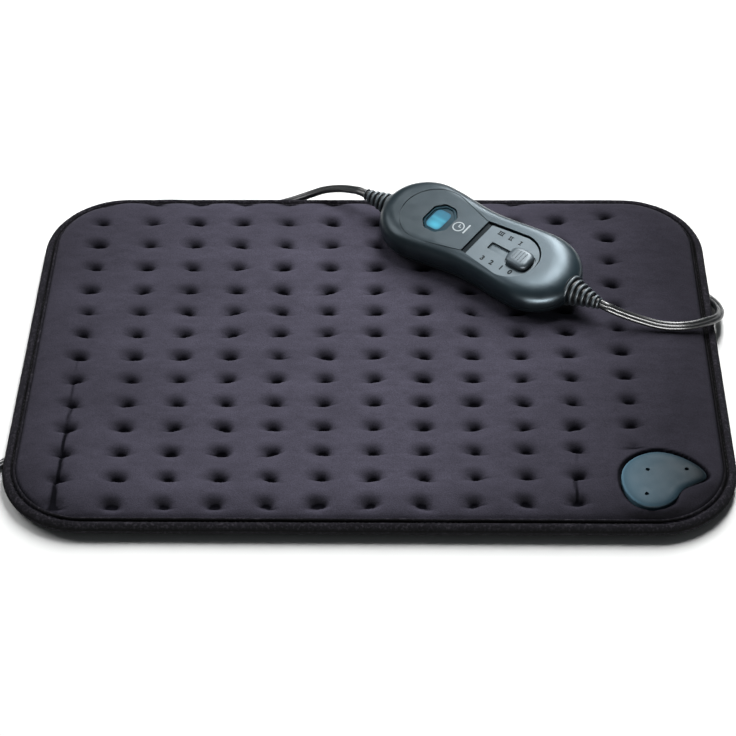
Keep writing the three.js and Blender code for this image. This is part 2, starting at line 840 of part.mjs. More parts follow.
// Controller casing outline at the parting line
function casingHalfWidth(share, lobe) {
  return waistHalfWidth + (lobe - waistHalfWidth) * (1 + Math.cos(share * halfTurn)) / 2;
}

function casingOutline() {
  const outline = [];
  for (let k = 0; k <= endSteps; k += 1) {
    const angle = (k / endSteps - 0.5) * halfTurn;
    outline.push([cordEndX + cordEndRadius * Math.cos(angle), cordEndRadius * Math.sin(angle)]);
  }
  const upper = [];
  for (let k = 1; k < 2 * waistSteps; k += 1) {
    const share = k / waistSteps;
    const near = share <= 1;
    const x = cordEndX + (displayEndX - cordEndX) * (share / 2);
    const lobe = near ? cordEndRadius : displayEndRadius;
    upper.push([x, casingHalfWidth(near ? share : 2 - share, lobe)]);
  }
  outline.push(...upper);
  for (let k = 0; k <= endSteps; k += 1) {
    const angle = (k / endSteps + 0.5) * halfTurn;
    outline.push([displayEndX + displayEndRadius * Math.cos(angle), displayEndRadius * Math.sin(angle)]);
  }
  outline.push(...upper.reverse().map(([x, y]) => [x, -y]));
  return outline.map(([x, y]) => new THREE.Vector2(x, y));
}

const casingShape = casingOutline();

function casingRings(levels) {
  return levels.map(([inset, height]) => ringAt(insetOutline(casingShape, inset), height));
}

// A quarter ellipse of rings from the parting line towards the top or the belly
function shellRings(wall, inset, rise) {
  const levels = [];
  for (let k = 0; k <= shellSteps; k += 1) {
    const angle = (k * halfTurn) / (2 * shellSteps);
    levels.push([wall + (inset - wall) * (1 - Math.cos(angle)), partingHeight + rise * Math.sin(angle)]);
  }
  return casingRings(levels);
}

// Half bodies, the casing's outside at wall 0 and the space inside it at the wall's own thickness
function upperBody(wall) {
  return skin(shellRings(wall, crownInset + wall, casingHeight - wall - partingHeight));
}

function lowerBody(wall) {
  return skin(shellRings(wall, bellyInset, wall - partingHeight).reverse());
}

function wholeBody(wall) {
  return join([upperBody(wall), lowerBody(wall)]);
}

function lengthwise(x, diameter, low, high) {
  const bar = upright(0, 0, diameter, low, high);
  bar.rotateY(halfTurn / 2);
  bar.translate(x, 0, partingHeight);
  return bar;
}

const cordEnd = cordEndX + cordEndRadius;
const displayEnd = displayEndX - displayEndRadius;
const neckReach = casingWall + 2 * overrun;
const neckBores = [
  lengthwise(cordEnd, reliefNeck + 2 * gap, -neckReach, overrun),
  lengthwise(displayEnd, reliefNeck + 2 * gap, -overrun, neckReach)
];
const cordBossX = cordEndX + cordBossShift;
const bossPlaces = [
  [displayEndX, -bossY], [displayEndX, bossY], [cordBossX, -bossY], [cordBossX, bossY]
];
const roof = casingHeight - casingWall;
const partingRoom = block(
  (cordEnd + displayEnd) / 2, 0, 2 * (cordEnd - displayEnd), casingHeight * 4,
  partingHeight - gap / 2, partingHeight + gap / 2
);
const panelTop = casingHeight - faceRecess;
const flangeTop = roof - gap;
const flangeFloor = flangeTop - flangeThickness;
const barStart = panelStart - barWidth;

// Outline of the switch panel, one straight end and one round nose
function noseOutline(start, margin) {
  const outline = [];
  const noseX = panelStart + panelLength - panelNose;
  const half = panelHalfWidth + margin;
  for (let k = -noseSteps; k <= noseSteps; k += 1) {
    const angle = (k * halfTurn) / (2 * noseSteps);
    const reach = (panelNose + margin) * Math.cos(angle);
    outline.push(new THREE.Vector2(noseX + reach, half * Math.sin(angle)));
  }
  outline.push(new THREE.Vector2(start - margin, half * panelStartShare));
  outline.push(new THREE.Vector2(start - margin, -half * panelStartShare));
  return outline;
}

function windowOutline(margin) {
  const x = windowWidth / 2 + margin;
  const y = windowLength / 2 + margin;
  const c = windowChamfer;
  const outline = [
    [x, c - y], [x, y - c], [x - c, y], [c - x, y], [-x, y - c], [-x, c - y], [c - x, -y], [x - c, -y]
  ];
  return outline.map(([px, py]) => new THREE.Vector2(windowX + px, py));
}

// Round display plate running out to the bar, the outline that a thin groove follows
function plateOutline() {
  const outline = [];
  const endX = barStart + barWidth / 2;
  const endY = panelHalfWidth * panelStartShare;
  const reach = Math.hypot(endX - plateX, endY);
  const spread = Math.acos(plateRadius / reach) + Math.atan2(endY, endX - plateX);
  for (let k = 0; k <= 2 * endSteps; k += 1) {
    const angle = spread + (k / (2 * endSteps)) * (fullTurn - 2 * spread);
    outline.push(new THREE.Vector2(plateX + plateRadius * Math.cos(angle), plateRadius * Math.sin(angle)));
  }
  outline.push(new THREE.Vector2(endX, -endY), new THREE.Vector2(endX, endY));
  return outline;
}

// From the face's own axis to the casing's
function faced(geometry) {
  geometry.rotateZ(faceTurnAngle * degrees);
  geometry.translate(0, faceShift, 0);
  return geometry;
}

function upperCasing() {
  const shell = cut(upperBody(0), [upperBody(casingWall)]);
  const posts = bossPlaces.map(([x, y]) => (
    upright(x, y, bossDiameter, partingHeight, casingHeight, smallSides)
  ));
  const holeDiameter = screwDiameter + 2 * gap;
  const holeTop = screwSeat + screwLength + gap;
  const holes = bossPlaces.map(([x, y]) => (
    upright(x, y, holeDiameter, partingHeight - overrun, holeTop, smallSides)
  ));
  const top = casingHeight + overrun;
  const floor = casingHeight - grooveDepth;
  const groove = cut(prism(plateOutline(), floor, top), [
    prism(insetOutline(plateOutline(), grooveWidth), floor - overrun, top + overrun)
  ]);
  return cut(trim(join([shell, ...posts]), upperBody(0)), [
    partingRoom,
    ...holes,
    ...neckBores,
    faced(prism(noseOutline(barStart, gap), roof - overrun, top)),
    faced(prism(noseOutline(barStart, flangeWidth + gap), flangeFloor - overrun, roof)),
    faced(prism(windowOutline(gap), roof - overrun, top)),
    faced(groove)
  ]);
}

function lowerCasing() {
  const shell = cut(lowerBody(0), [lowerBody(casingWall)]);
  const bosses = bossPlaces.map(([x, y]) => upright(x, y, bossDiameter, 0, partingHeight, smallSides));
  const posts = [];
  for (const x of [boardStart + boardPostInset, boardEnd - boardPostInset]) {
    for (const side of [-1, 1]) {
      const y = side * (boardHalfWidth - boardPostDiameter);
      posts.push(upright(x, y, boardPostDiameter, 0, boardFloor - gap, smallSides));
    }
  }
  const holes = bossPlaces.flatMap(([x, y]) => [
    upright(x, y, screwDiameter + 2 * gap, -overrun, partingHeight + overrun, smallSides),
    upright(x, y, screwHeadDiameter + 2 * gap, -overrun, screwSeat, smallSides)
  ]);
  const whole = trim(join([shell, ...bosses, ...posts]), lowerBody(0));
  return cut(whole, [partingRoom, ...holes, ...neckBores]);
}

function casingScrew(x, y) {
  const seat = screwSeat - gap;
  return join([
    upright(x, y, screwHeadDiameter, seat - screwHeadHeight, seat, smallSides),
    upright(x, y, screwDiameter, seat - screwHeadHeight / 2, seat + screwLength, smallSides)
  ]);
}

const travel = (positionCount - 1) * positionPitch;
const slotStart = offPositionX - travel - stemLength / 2 - gap;
const slotEnd = offPositionX + stemLength / 2 + gap;

function controlPanel() {
  const middle = (slotStart + slotEnd) / 2;
  const slot = block(middle, 0, slotEnd - slotStart, slotWidth, flangeFloor - overrun, panelTop + overrun);
  const panel = join([
    prism(noseOutline(barStart, flangeWidth), flangeFloor, flangeTop),
    prism(noseOutline(barStart, 0), flangeFloor, casingHeight - barDepth),
    prism(noseOutline(panelStart, 0), flangeFloor, panelTop)
  ]);
  return cut(panel, [slot]);
}

function displayWindow() {
  return join([
    prism(windowOutline(0), flangeFloor, panelTop),
    prism(windowOutline(flangeWidth), flangeFloor, flangeTop)
  ]);
}

const boardTop = boardFloor + boardThickness;
const partFloor = boardTop + gap;
const shutterTop = flangeFloor - gap;
const shutterFloor = shutterTop - shutterThickness;
const switchTop = partFloor + switchHeight;
const leverTop = switchTop + leverRise;

function knobOutline(inset) {
  const outline = [];
  for (let k = 0; k < knobSteps; k += 1) {
    const angle = (k * fullTurn) / knobSteps;
    const squared = (value) => Math.sign(value) * Math.abs(value) ** knobSquareness;
    const x = squared(Math.cos(angle)) * (knobLength / 2 - inset);
    const y = squared(Math.sin(angle)) * (knobWidth / 2 - inset);
    outline.push(new THREE.Vector2(offPositionX + x, y));
  }
  return outline;
}

// Knob cap with finger ribs, and the stem that goes down through the slot
function selectorKnob() {
  const low = panelTop + gap;
  const high = low + knobHeight;
  const cap = skin([
    ringAt(knobOutline(0), low),
    ringAt(knobOutline(0), high - knobRounding),
    ringAt(knobOutline(knobRounding / 3), high - knobRounding / 3),
    ringAt(knobOutline(knobRounding), high)
  ]);
  const stem = block(offPositionX, 0, stemLength, stemWidth, leverTop + gap, low + knobHeight / 2);
  const grooves = [];
  for (let k = 0; k <= knobRibs; k += 1) {
    const x = offPositionX + (k - knobRibs / 2) * 2 * knobRibWidth;
    grooves.push(block(x, 0, knobRibWidth, 2 * knobWidth, high - knobRibDepth, high + overrun));
  }
  return cut(join([cap, stem]), grooves);
}

// Dust shutter under the slot, with the collar that holds the stem and the switch lever
function selectorShutter() {
  const start = slotStart - gap;
  const end = slotEnd + travel + gap;
  const plate = block((start + end) / 2, 0, end - start, shutterWidth, shutterFloor, shutterTop);
  const collarLength = stemLength + 2 * (gap + collarWall);
  const collarWidth = stemWidth + 2 * (gap + collarWall);
  const collar = block(offPositionX, 0, collarLength, collarWidth, switchTop + gap, shutterTop);
  const hole = block(
    offPositionX, 0, stemLength + 2 * gap, stemWidth + 2 * gap, switchTop - overrun, shutterTop + overrun
  );
  return cut(join([plate, collar]), [hole]);
}

// Slide switch on the board, its lever standing in an open trough
const troughFloor = switchTop - troughDepth;

function slideSwitchBody() {
  const start = offPositionX - travel - leverLength / 2;
  const end = offPositionX + leverLength / 2;
  const middle = (start + end) / 2;
  const body = block(middle, 0, end - start + 2 * switchEndRoom, switchWidth, partFloor, switchTop);
  const trough = block(
    middle, 0, end - start + 2 * gap, leverWidth + 2 * gap, troughFloor, switchTop + overrun
  );
  return cut(body, [trough]);
}

function boardPart(x, y, length, width, height) {
  return block(x, y, length, width, partFloor, partFloor + height);
}

// Ribbed strain relief, its collar shaped to the inside of the casing and its root to the outside
function strainRelief(root, length, rings, end, facing) {
  const pitch = length / (rings + 0.5);
  const radiusAt = (s) => (root + ((reliefTip - root) * s) / length) / 2;
  const profile = [[0, -reliefBury], [root / 2, -reliefBury]];
  for (let k = 0; k < rings; k += 1) {
    const start = k * pitch;
    const rib = start + pitch / 2;
    const next = start + pitch;
    profile.push([radiusAt(start), start], [radiusAt(rib), rib]);
    profile.push([radiusAt(rib) - reliefRibDepth, rib], [radiusAt(next) - reliefRibDepth, next]);
  }
  profile.push([radiusAt(rings * pitch), rings * pitch], [reliefTip / 2, length], [0, length]);
  const cone = new THREE.LatheGeometry(profile.map(([r, s]) => new THREE.Vector2(r, s)), reliefSides);
  cone.rotateZ((-facing * halfTurn) / 2);
  cone.translate(end, 0, partingHeight);
  const collarStart = casingWall + gap + reliefCollarLength;
  const collar = facing > 0
    ? lengthwise(end, reliefCollar, -collarStart, 0)
    : lengthwise(end, reliefCollar, 0, collarStart);
  const neck = facing > 0
    ? lengthwise(end, reliefNeck, -collarStart, length / 2)
    : lengthwise(end, reliefNeck, -length / 2, collarStart);
  return join([cut(cone, [wholeBody(-gap)]), trim(collar, wholeBody(casingWall + gap)), neck]);
}

// Stored mains lead, flat spirals in and out, layer over layer
function coilPoints() {
  const points = [];
  const outerRadius = coilInnerRadius + coilLayerTurns[0] * coilPitch;
  let turn = coilStartAngle / 360;
  let radius = outerRadius;
  let height = leadDiameter / 2 + coilLift;
  const place = () => new THREE.Vector3(
    coilX + radius * Math.cos(turn * fullTurn), coilY + radius * Math.sin(turn * fullTurn), height
  );
  const advance = (turns, radiusChange, rise) => {
    const steps = Math.round(turns * loopSteps);
    const from = { turn, radius, height };
    for (let k = 1; k <= steps; k += 1) {
      const share = k / steps;
      turn = from.turn + turns * share;
      radius = from.radius + radiusChange * share;
      height = from.height + (rise * (1 - Math.cos(share * halfTurn))) / 2;
      points.push(place());
    }
  };
  points.push(place());
  coilLayerTurns.forEach((turns, layer) => {
    const outward = layer % 2 === 0 ? -1 : 1;
    advance(turns, outward * turns * coilPitch, 0);
    if (layer < coilLayerTurns.length - 1) advance(coilClimbTurns, 0, coilPitch);
  });
  const first = points[0].clone();
  const last = points[points.length - 1].clone();
  first.x += leadDiameter;
  last.y -= leadDiameter;
  return [first, ...points, last];
}

function leastGap(points, diameter) {
  let least = Infinity;
  points.forEach((a, i) => {
    for (let j = i + Math.round(loopSteps / 3); j < points.length - 1; j += 1) {
      const segment = new THREE.Line3(points[j], points[j + 1]);
      const nearest = segment.closestPointToPoint(a, true, new THREE.Vector3());
      least = Math.min(least, nearest.distanceTo(a) - diameter);
    }
  });
  return least;
}

function coilTie() {
  const outerRadius = coilInnerRadius + coilLayerTurns[0] * coilPitch;
  const inner = coilInnerRadius - leadDiameter / 2 - tieRoom;
  const outer = outerRadius + leadDiameter / 2 + tieRoom;
  const top = coilLift + leadDiameter + (coilLayerTurns.length - 1) * coilPitch + tieRoom;
  const middle = (inner + outer) / 2;
  const band = block(middle, 0, outer - inner + 2 * tieThickness, tieWidth, 0, top + tieThickness);
  const room = block(middle, 0, outer - inner, tieWidth + overrun, tieThickness, top);
  const tie = cut(band, [room]);
  tie.rotateZ(tieAngle * degrees);
  tie.translate(coilX, coilY, 0);
  return tie;
}

// Flat two pin plug lying on its broad side, its pins towards +X
const plugShares = [
  [0, 0.26], [0.24, 0.32], [0.48, 0.58], [0.7, 0.93], [0.8, 1], [0.95, 1], [1, 0.93]
];
const plugEdgeShares = [[1, 0], [0, 0.13], [0, 0.87], [1, 1]];

function plugOutline(inset) {
  const side = plugShares.map(([x, y]) => new THREE.Vector2(x * plugBodyLength, (y * plugBodyWidth) / 2));
  const outline = [...side.map((p) => new THREE.Vector2(p.x, -p.y)), ...side.reverse()];
  return movedOutline(insetOutline(outline, inset), plugX, plugY);
}

function pinBar(side, diameter, start, end) {
  const pin = upright(0, 0, diameter, start, end, smallSides);
  pin.rotateY(halfTurn / 2);
  pin.translate(plugX + plugBodyLength, plugY + (side * pinSpacing) / 2, plugBodyHeight / 2);
  return pin;
}

function plugBody() {
  const body = skin(plugEdgeShares.map(([inset, rise]) => (
    ringAt(plugOutline(inset * plugEdge), rise * plugBodyHeight)
  )));
  return cut(body, [-1, 1].map((side) => pinBar(side, pinDiameter + 2 * gap, -pinSeat, overrun)));
}

// Controller, laid on the pad with its near side lower
addPiece('upper_casing', upperCasing(), 'casing', controller);
addPiece('lower_casing', lowerCasing(), 'casing', controller);
addPiece('control_panel', controlPanel(), 'panel', face);
addPiece('display_lens', displayWindow(), 'lens', face);
const moduleHeight = flangeFloor - gap - partFloor;
const display = boardPart(windowX, 0, displayWidth, displayLength, moduleHeight);
addPiece('display_module', display, 'display', face);
addPiece('selector_knob', selectorKnob(), 'knob', selector);
addPiece('selector_shutter', selectorShutter(), 'component', selector);
const lever = block(offPositionX, 0, leverLength, leverWidth, troughFloor + gap, leverTop);
addPiece('switch_lever', lever, 'component', selector);
addPiece('slide_switch_body', slideSwitchBody(), 'steel', face);
const boardMiddle = (boardStart + boardEnd) / 2;
const board = block(boardMiddle, 0, boardEnd - boardStart, 2 * boardHalfWidth, boardFloor, boardTop);
addPiece('circuit_board', board, 'board', controller);
const terminalInset = terminalLength / 2 + gap;
const terminalSize = [terminalLength, terminalWidth, terminalHeight];
const mainsTerminals = boardPart(boardStart + terminalInset, 0, ...terminalSize);
const padTerminals = boardPart(boardEnd - terminalInset, 0, ...terminalSize);
addPiece('mains_terminals', mainsTerminals, 'component', controller);
addPiece('pad_terminals', padTerminals, 'component', controller);
const relayY = boardHalfWidth - boardMargin - relayWidth / 2;
addPiece('relay', boardPart(relayX, relayY, relayLength, relayWidth, relayHeight), 'component', controller);
const capacitorY = capacitorDiameter / 2 + boardMargin - boardHalfWidth;
const capacitor = upright(relayX, capacitorY, capacitorDiameter, partFloor, partFloor + capacitorHeight);
addPiece('capacitor', capacitor, 'component', controller);
const fuse = new THREE.CylinderGeometry(fuseDiameter / 2, fuseDiameter / 2, fuseLength, smallSides);
fuse.translate(fuseX, 0, partFloor + fuseDiameter / 2);
addPiece('board_fuse', fuse, 'steel', controller);
const chipY = chipSize / 2 + boardMargin - boardHalfWidth;
addPiece('timer_chip', boardPart(chipX, chipY, chipSize, chipSize, chipHeight), 'component', controller);
const padRelief = strainRelief(padReliefRoot, padReliefLength, padReliefRings, cordEnd, 1);
const mainsRelief = strainRelief(mainsReliefRoot, mainsReliefLength, mainsReliefRings, displayEnd, -1);
addPiece('pad_relief', padRelief, 'rubber', controller);
addPiece('mains_relief', mainsRelief, 'rubber', controller);
bossPlaces.forEach(([x, y], i) => addPiece(`casing_screw_${i + 1}`, casingScrew(x, y), 'steel', controller));
face.add(selector);
face.rotation.z = faceTurnAngle * degrees;
face.position.y = faceShift;
controller.add(face);
controller.rotation.set(controllerLeanAngle * degrees, 0, -controllerTurnAngle * degrees, 'ZYX');
const lowest = new THREE.Box3().setFromObject(controller, true).min.z;
controller.position.set(controllerX, controllerY, padHeight + gap - lowest);
controller.updateMatrixWorld(true);
object.add(controller);

// Pad
addPiece('pad_top_cover', topCover(), 'plush');
addPiece('pad_bottom_cover', bottomCover(), 'backing');
addPiece('top_wadding', layerSheet(waddingFloor, waddingThickness), 'wadding');
addPiece('heater_carrier', layerSheet(fleeceFloor, fleeceThickness), 'fleece');
addPiece('heating_wire', heatingWire(), 'wire');
addPiece('edge_binding', edgeBinding(), 'tape');

// Corner box
addPiece('corner_box_cover', boxCover(), 'casing');
addPiece('corner_box_base', boxBase(), 'component');
boxPinPlaces.forEach(([x, y], i) => addPiece(`box_pin_${i + 1}`, boxPin(boxX + x, boxY + y), 'steel'));
const terminalFloor = boxBaseBottom + boxWall + gap;
const boxTerminal = block(
  boxX, terminalY, boxTerminalLength, boxTerminalWidth, terminalFloor, terminalFloor + boxTerminalHeight
);
addPiece('box_terminal', boxTerminal, 'component');
const cutout = new THREE.CylinderGeometry(cutoutDiameter / 2, cutoutDiameter / 2, cutoutLength, smallSides);
cutout.rotateZ(halfTurn / 2);
const cutoutZ = terminalFloor + boxTerminalHeight + gap + cutoutDiameter / 2;
cutout.translate(boxX, terminalY, cutoutZ);
addPiece('thermal_cutout', cutout, 'steel');

// Leads, each end straight for one diameter
function reliefMouth(x, facing) {
  return [gap, gap + leadDiameter].map((reach) => (
    controller.localToWorld(new THREE.Vector3(x + facing * reach, 0, partingHeight))
  ));
}

const padLeadPoints = [
  ...reliefMouth(cordEnd + padReliefLength, 1), ...padLeadOver, ...padLeadUnder, ...padLeadIn, padLeadEnd
];
addPiece('pad_lead', leadTube(padLeadPoints, padLeadSteps), 'cord');
const coil = coilPoints();
const coilStart = coil[0].clone();
coilStart.x += gap;
const beforeCoil = coilStart.clone();
beforeCoil.x += leadDiameter;
const mainsLeadPoints = [
  ...reliefMouth(displayEnd - mainsReliefLength, -1),
  ...mainsLeadOver,
  ...mainsLeadCrossing,
  ...mainsLeadOut,
  beforeCoil,
  coilStart
];
addPiece('mains_lead', leadTube(mainsLeadPoints, mainsLeadSteps), 'cord');
addPiece('mains_lead_coil', ringTube(coil, leadDiameter / 2, coilSides), 'cord');
const tailStart = coil[coil.length - 1].clone();
tailStart.y -= gap;
const afterCoil = tailStart.clone();
afterCoil.y -= leadDiameter;
const plugMouth = new THREE.Vector3(plugX - gap, plugY, plugBodyHeight / 2);
const beforePlug = plugMouth.clone();
beforePlug.x -= leadDiameter;
const tailPoints = [tailStart, afterCoil, ...placed(tailRoute, coilX, coilY), beforePlug, plugMouth];
addPiece('mains_lead_tail', leadTube(tailPoints, tailSteps), 'cord');
addPiece('coil_tie', coilTie(), 'rubber');
addPiece('plug_body', plugBody(), 'rubber');
[-1, 1].forEach((side, i) => {
  addPiece(`plug_pin_${i + 1}`, pinBar(side, pinDiameter, gap - pinSeat, pinLength), 'steel');
});

function routeLength(points) {
  return new THREE.CatmullRomCurve3(points, false, 'centripetal').getLength();
}

const shown = (value) => value.toFixed(2);
console.log('least gap in the coil', shown(leastGap(coil, leadDiameter)));
console.log('pad lead', shown(routeLength(padLeadPoints)), 'mains lead', shown(routeLength(mainsLeadPoints)));
console.log('coil', shown(routeLength(coil)), 'tail', shown(routeLength(tailPoints)));

export default object;
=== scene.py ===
import json
import math

import bmesh
import bpy
from mathutils import Matrix, Quaternion, Vector, geometry, kdtree, noise


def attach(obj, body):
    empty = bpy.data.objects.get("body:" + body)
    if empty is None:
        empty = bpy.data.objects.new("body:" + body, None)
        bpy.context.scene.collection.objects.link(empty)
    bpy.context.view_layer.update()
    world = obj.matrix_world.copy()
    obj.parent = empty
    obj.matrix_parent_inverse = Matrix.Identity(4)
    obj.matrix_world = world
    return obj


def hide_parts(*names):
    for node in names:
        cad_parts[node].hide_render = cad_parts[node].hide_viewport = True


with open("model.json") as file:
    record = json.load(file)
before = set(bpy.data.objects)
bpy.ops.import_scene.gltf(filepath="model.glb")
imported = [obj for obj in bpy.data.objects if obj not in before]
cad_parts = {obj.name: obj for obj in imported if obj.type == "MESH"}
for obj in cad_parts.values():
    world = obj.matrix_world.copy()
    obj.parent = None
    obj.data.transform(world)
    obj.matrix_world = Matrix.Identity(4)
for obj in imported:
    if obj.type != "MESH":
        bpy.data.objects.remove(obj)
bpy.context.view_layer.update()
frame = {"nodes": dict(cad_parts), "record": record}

mm = 0.001
pad_body = "pad_and_controller"
selector_body = "selector"

# Camera, at the photograph's viewing angle
camera_place = Vector((22.1, -889.2, 826.0)) * mm
camera_pitch = math.radians(43.049)
camera_yaw = math.radians(-1.546)
camera_roll = math.radians(-0.903)
camera_lens = 102.64


def make_camera():
    data = bpy.data.cameras.new("camera")
    data.lens = camera_lens
    data.sensor_width = 36
    camera = bpy.data.objects.new("camera", data)
    bpy.context.scene.collection.objects.link(camera)
    ahead = Vector((
        math.sin(camera_yaw) * math.cos(camera_pitch),
        math.cos(camera_yaw) * math.cos(camera_pitch),
        -math.sin(camera_pitch),
    ))
    aim = ahead.to_track_quat("-Z", "Y")
    camera.rotation_mode = "QUATERNION"
    camera.rotation_quaternion = aim @ Quaternion((0, 0, 1), camera_roll)
    camera.location = camera_place
    bpy.context.scene.camera = camera


make_camera()


# Handling of objects
touching = 0.01
sharp_edge = 60
level_share = 0.99


def deselect():
    if bpy.context.mode != "OBJECT":
        bpy.ops.object.mode_set(mode="OBJECT")
    bpy.ops.object.select_all(action="DESELECT")


def named(name):
    """The object that was just made, under its name."""
    piece = bpy.context.object
    piece.name = name
    piece.data.name = name
    return piece


def take(piece):
    deselect()
    piece.select_set(True)
    bpy.context.view_layer.objects.active = piece


def edit(piece):
    take(piece)
    bpy.ops.object.mode_set(mode="EDIT")


def select_faces(piece, wanted):
    bpy.ops.mesh.select_mode(type="FACE")
    bpy.ops.mesh.select_all(action="DESELECT")
    bpy.ops.object.mode_set(mode="OBJECT")
    for face in piece.data.polygons:
        face.select = wanted(face)
    bpy.ops.object.mode_set(mode="EDIT")


def within_one(value):
    return min(max(value, 0), 1)


def shift(x, y, z):
    return Matrix.Translation(Vector((x, y, z)) * mm)


def rotation(degrees, axis):
    return Matrix.Rotation(math.radians(degrees), 4, axis)


def settle(piece, place):
    piece.matrix_world = place
    take(piece)
    bpy.ops.object.transform_apply(location=True, rotation=True, scale=True)


def apply_modifier(piece, kind, **settings):
    take(piece)
    modifier = piece.modifiers.new(kind.lower(), kind)
    for name, value in settings.items():
        setattr(modifier, name, value)
    bpy.ops.object.modifier_apply(modifier=modifier.name)


def round_edges(piece, width, segments):
    limit = math.radians(sharp_edge)
    apply_modifier(
        piece, "BEVEL", width=width * mm, segments=segments, limit_method="ANGLE", angle_limit=limit,
    )


def carve(piece, cutter, operation="DIFFERENCE"):
    apply_modifier(piece, "BOOLEAN", operation=operation, object=cutter, solver="EXACT")
    bpy.data.objects.remove(cutter)


def smooth(piece, angle=40):
    take(piece)
    bpy.ops.object.shade_smooth_by_angle(angle=math.radians(angle))


def weigh_normals(piece):
    apply_modifier(piece, "WEIGHTED_NORMAL", keep_sharp=True)


def face_outwards(piece):
    edit(piece)
    bpy.ops.mesh.select_all(action="SELECT")
    bpy.ops.mesh.remove_doubles(threshold=touching * mm)
    bpy.ops.mesh.normals_make_consistent(inside=False)
    deselect()


def dress(piece, material, body=pad_body, stands_for=()):
    piece.data.materials.clear()
    piece.data.materials.append(material)
    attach(piece, body)
    if stands_for:
        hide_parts(*stands_for)


def put(piece, place, material, body=pad_body, stands_for=(), angle=40):
    """Moves a piece to its place, smooths it and gives it its finish."""
    settle(piece, place)
    smooth(piece, angle)
    dress(piece, material, body, stands_for)


def piece_from(mesh, name, angle):
    data = bpy.data.meshes.new(name)
    mesh.to_mesh(data)
    mesh.free()
    piece = bpy.data.objects.new(name, data)
    bpy.context.scene.collection.objects.link(piece)
    smooth(piece, angle)
    return piece


# A closed outline as a flat face, given height; lengths here are in mm
def outlined(name, outline, height):
    deselect()
    bpy.ops.mesh.primitive_circle_add(vertices=len(outline), fill_type="NGON")
    piece = named(name)
    for vertex, (x, y) in zip(piece.data.vertices, outline):
        vertex.co = Vector((x, y, height)) * mm
    return piece


def raise_face(piece, height):
    edit(piece)
    bpy.ops.mesh.select_all(action="SELECT")
    bpy.ops.mesh.extrude_region_move(TRANSFORM_OT_translate={"value": (0, 0, height * mm)})


def plate(name, outline, low, high, edge=0.0):
    piece = outlined(name, outline, low)
    raise_face(piece, high - low)
    if edge:
        bpy.ops.mesh.bevel(offset=edge * mm, segments=3, profile=0.5, affect="EDGES")
    face_outwards(piece)
    return piece


def domed(name, outline, low, wall, rise, middle, flat_shares, fullness=2.0, steps=14):
    """An outline with a wall, closed by a dome whose rings shrink towards the middle as they rise."""
    piece = outlined(name, outline, low)
    raise_face(piece, wall)
    centre = Vector((*middle, 0)) * mm
    width, depth, level = 1.0, 1.0, 0.0
    for k in range(1, steps + 1):
        turn = k / steps * math.pi / 2
        spread = math.cos(turn) ** (2 / fullness) if k < steps else 0
        new_width, new_depth = (flat + (1 - flat) * spread for flat in flat_shares)
        new_level = rise * math.sin(turn) ** (2 / fullness)
        bpy.ops.mesh.extrude_region_move(TRANSFORM_OT_translate={"value": (0, 0, (new_level - level) * mm)})
        bpy.ops.transform.resize(value=(new_width / width, new_depth / depth, 1), center_override=centre)
        width, depth, level = new_width, new_depth, new_level
    face_outwards(piece)
    return piece


def round_outline(x, y, radius, sides=24):
    turns = [math.tau * k / sides for k in range(sides)]
    return [(x + radius * math.cos(turn), y + radius * math.sin(turn)) for turn in turns]


def box_outline(x, y, length, width, corner, steps=5):
    outline = []
    for side, (sx, sy) in enumerate([(1, 1), (-1, 1), (-1, -1), (1, -1)]):
        for k in range(steps + 1):
            turn = (side + k / steps) * math.pi / 2
            outline.append((
                x + sx * (length / 2 - corner) + corner * math.cos(turn),
                y + sy * (width / 2 - corner) + corner * math.sin(turn),
            ))
    return outline


def wider(outline, margin):
    count = len(outline)
    result = []
    for k, (x, y) in enumerate(outline):
        before = Vector(outline[k - 1])
        after = Vector(outline[(k + 1) % count])
        along = (after - before).normalized()
        result.append((x + along.y * margin, y - along.x * margin))
    return result


# A smooth curve through a route's points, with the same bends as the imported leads
def curve_through(points, steps):
    points = [Vector(point) for point in points]
    path = []
    last = len(points) - 1
    for k in range(last):
        start = points[k]
        end = points[k + 1]
        before = points[k - 1] if k else start * 2 - end
        after = points[k + 2] if k + 2 <= last else end * 2 - start
        near = (start - before).length ** 0.5
        middle = (end - start).length ** 0.5
        far = (after - end).length ** 0.5
        leave = (start - before) / near - (end - before) / (near + middle) + (end - start) / middle
        arrive = (end - start) / middle - (after - start) / (middle + far) + (after - end) / far
        first = start + leave * middle / 3
        second = end - arrive * middle / 3
        path += geometry.interpolate_bezier(start, first, second, end, steps + 1)[:-1]
    return path + [points[last]]


def swept(name, path, section, rolls=(0,)):
    """A tube of a given section along a path, turned about the path by rolls spread over its length."""
    mesh = bmesh.new()
    rings = []
    last = len(path) - 1
    for k, point in enumerate(path):
        along = (path[min(k + 1, last)] - path[max(k - 1, 0)]).normalized()
        side = Vector((along.y, -along.x, 0)).normalized()
        rise = side.cross(along)
        place = k / last * (len(rolls) - 1)
        start = min(int(place), max(len(rolls) - 2, 0))
        end = min(start + 1, len(rolls) - 1)
        roll = math.radians(rolls[start] + (rolls[end] - rolls[start]) * (place - start))
        across = side * math.cos(roll) + rise * math.sin(roll)
        above = rise * math.cos(roll) - side * math.sin(roll)
        ring = [mesh.verts.new((point + across * x + above * y) * mm) for x, y in section]
        rings.append(ring)
    count = len(section)
    for low, high in zip(rings, rings[1:]):
        for k in range(count):
            mesh.faces.new((low[k], low[(k + 1) % count], high[(k + 1) % count], high[k]))
    mesh.faces.new(rings[0][::-1])
    mesh.faces.new(rings[-1])
    bmesh.ops.recalc_face_normals(mesh, faces=mesh.faces)
    return piece_from(mesh, name, angle=50)


# Finishes, with the shares of a noise's range between which its pattern runs
grain_shares = (0.3, 0.7)


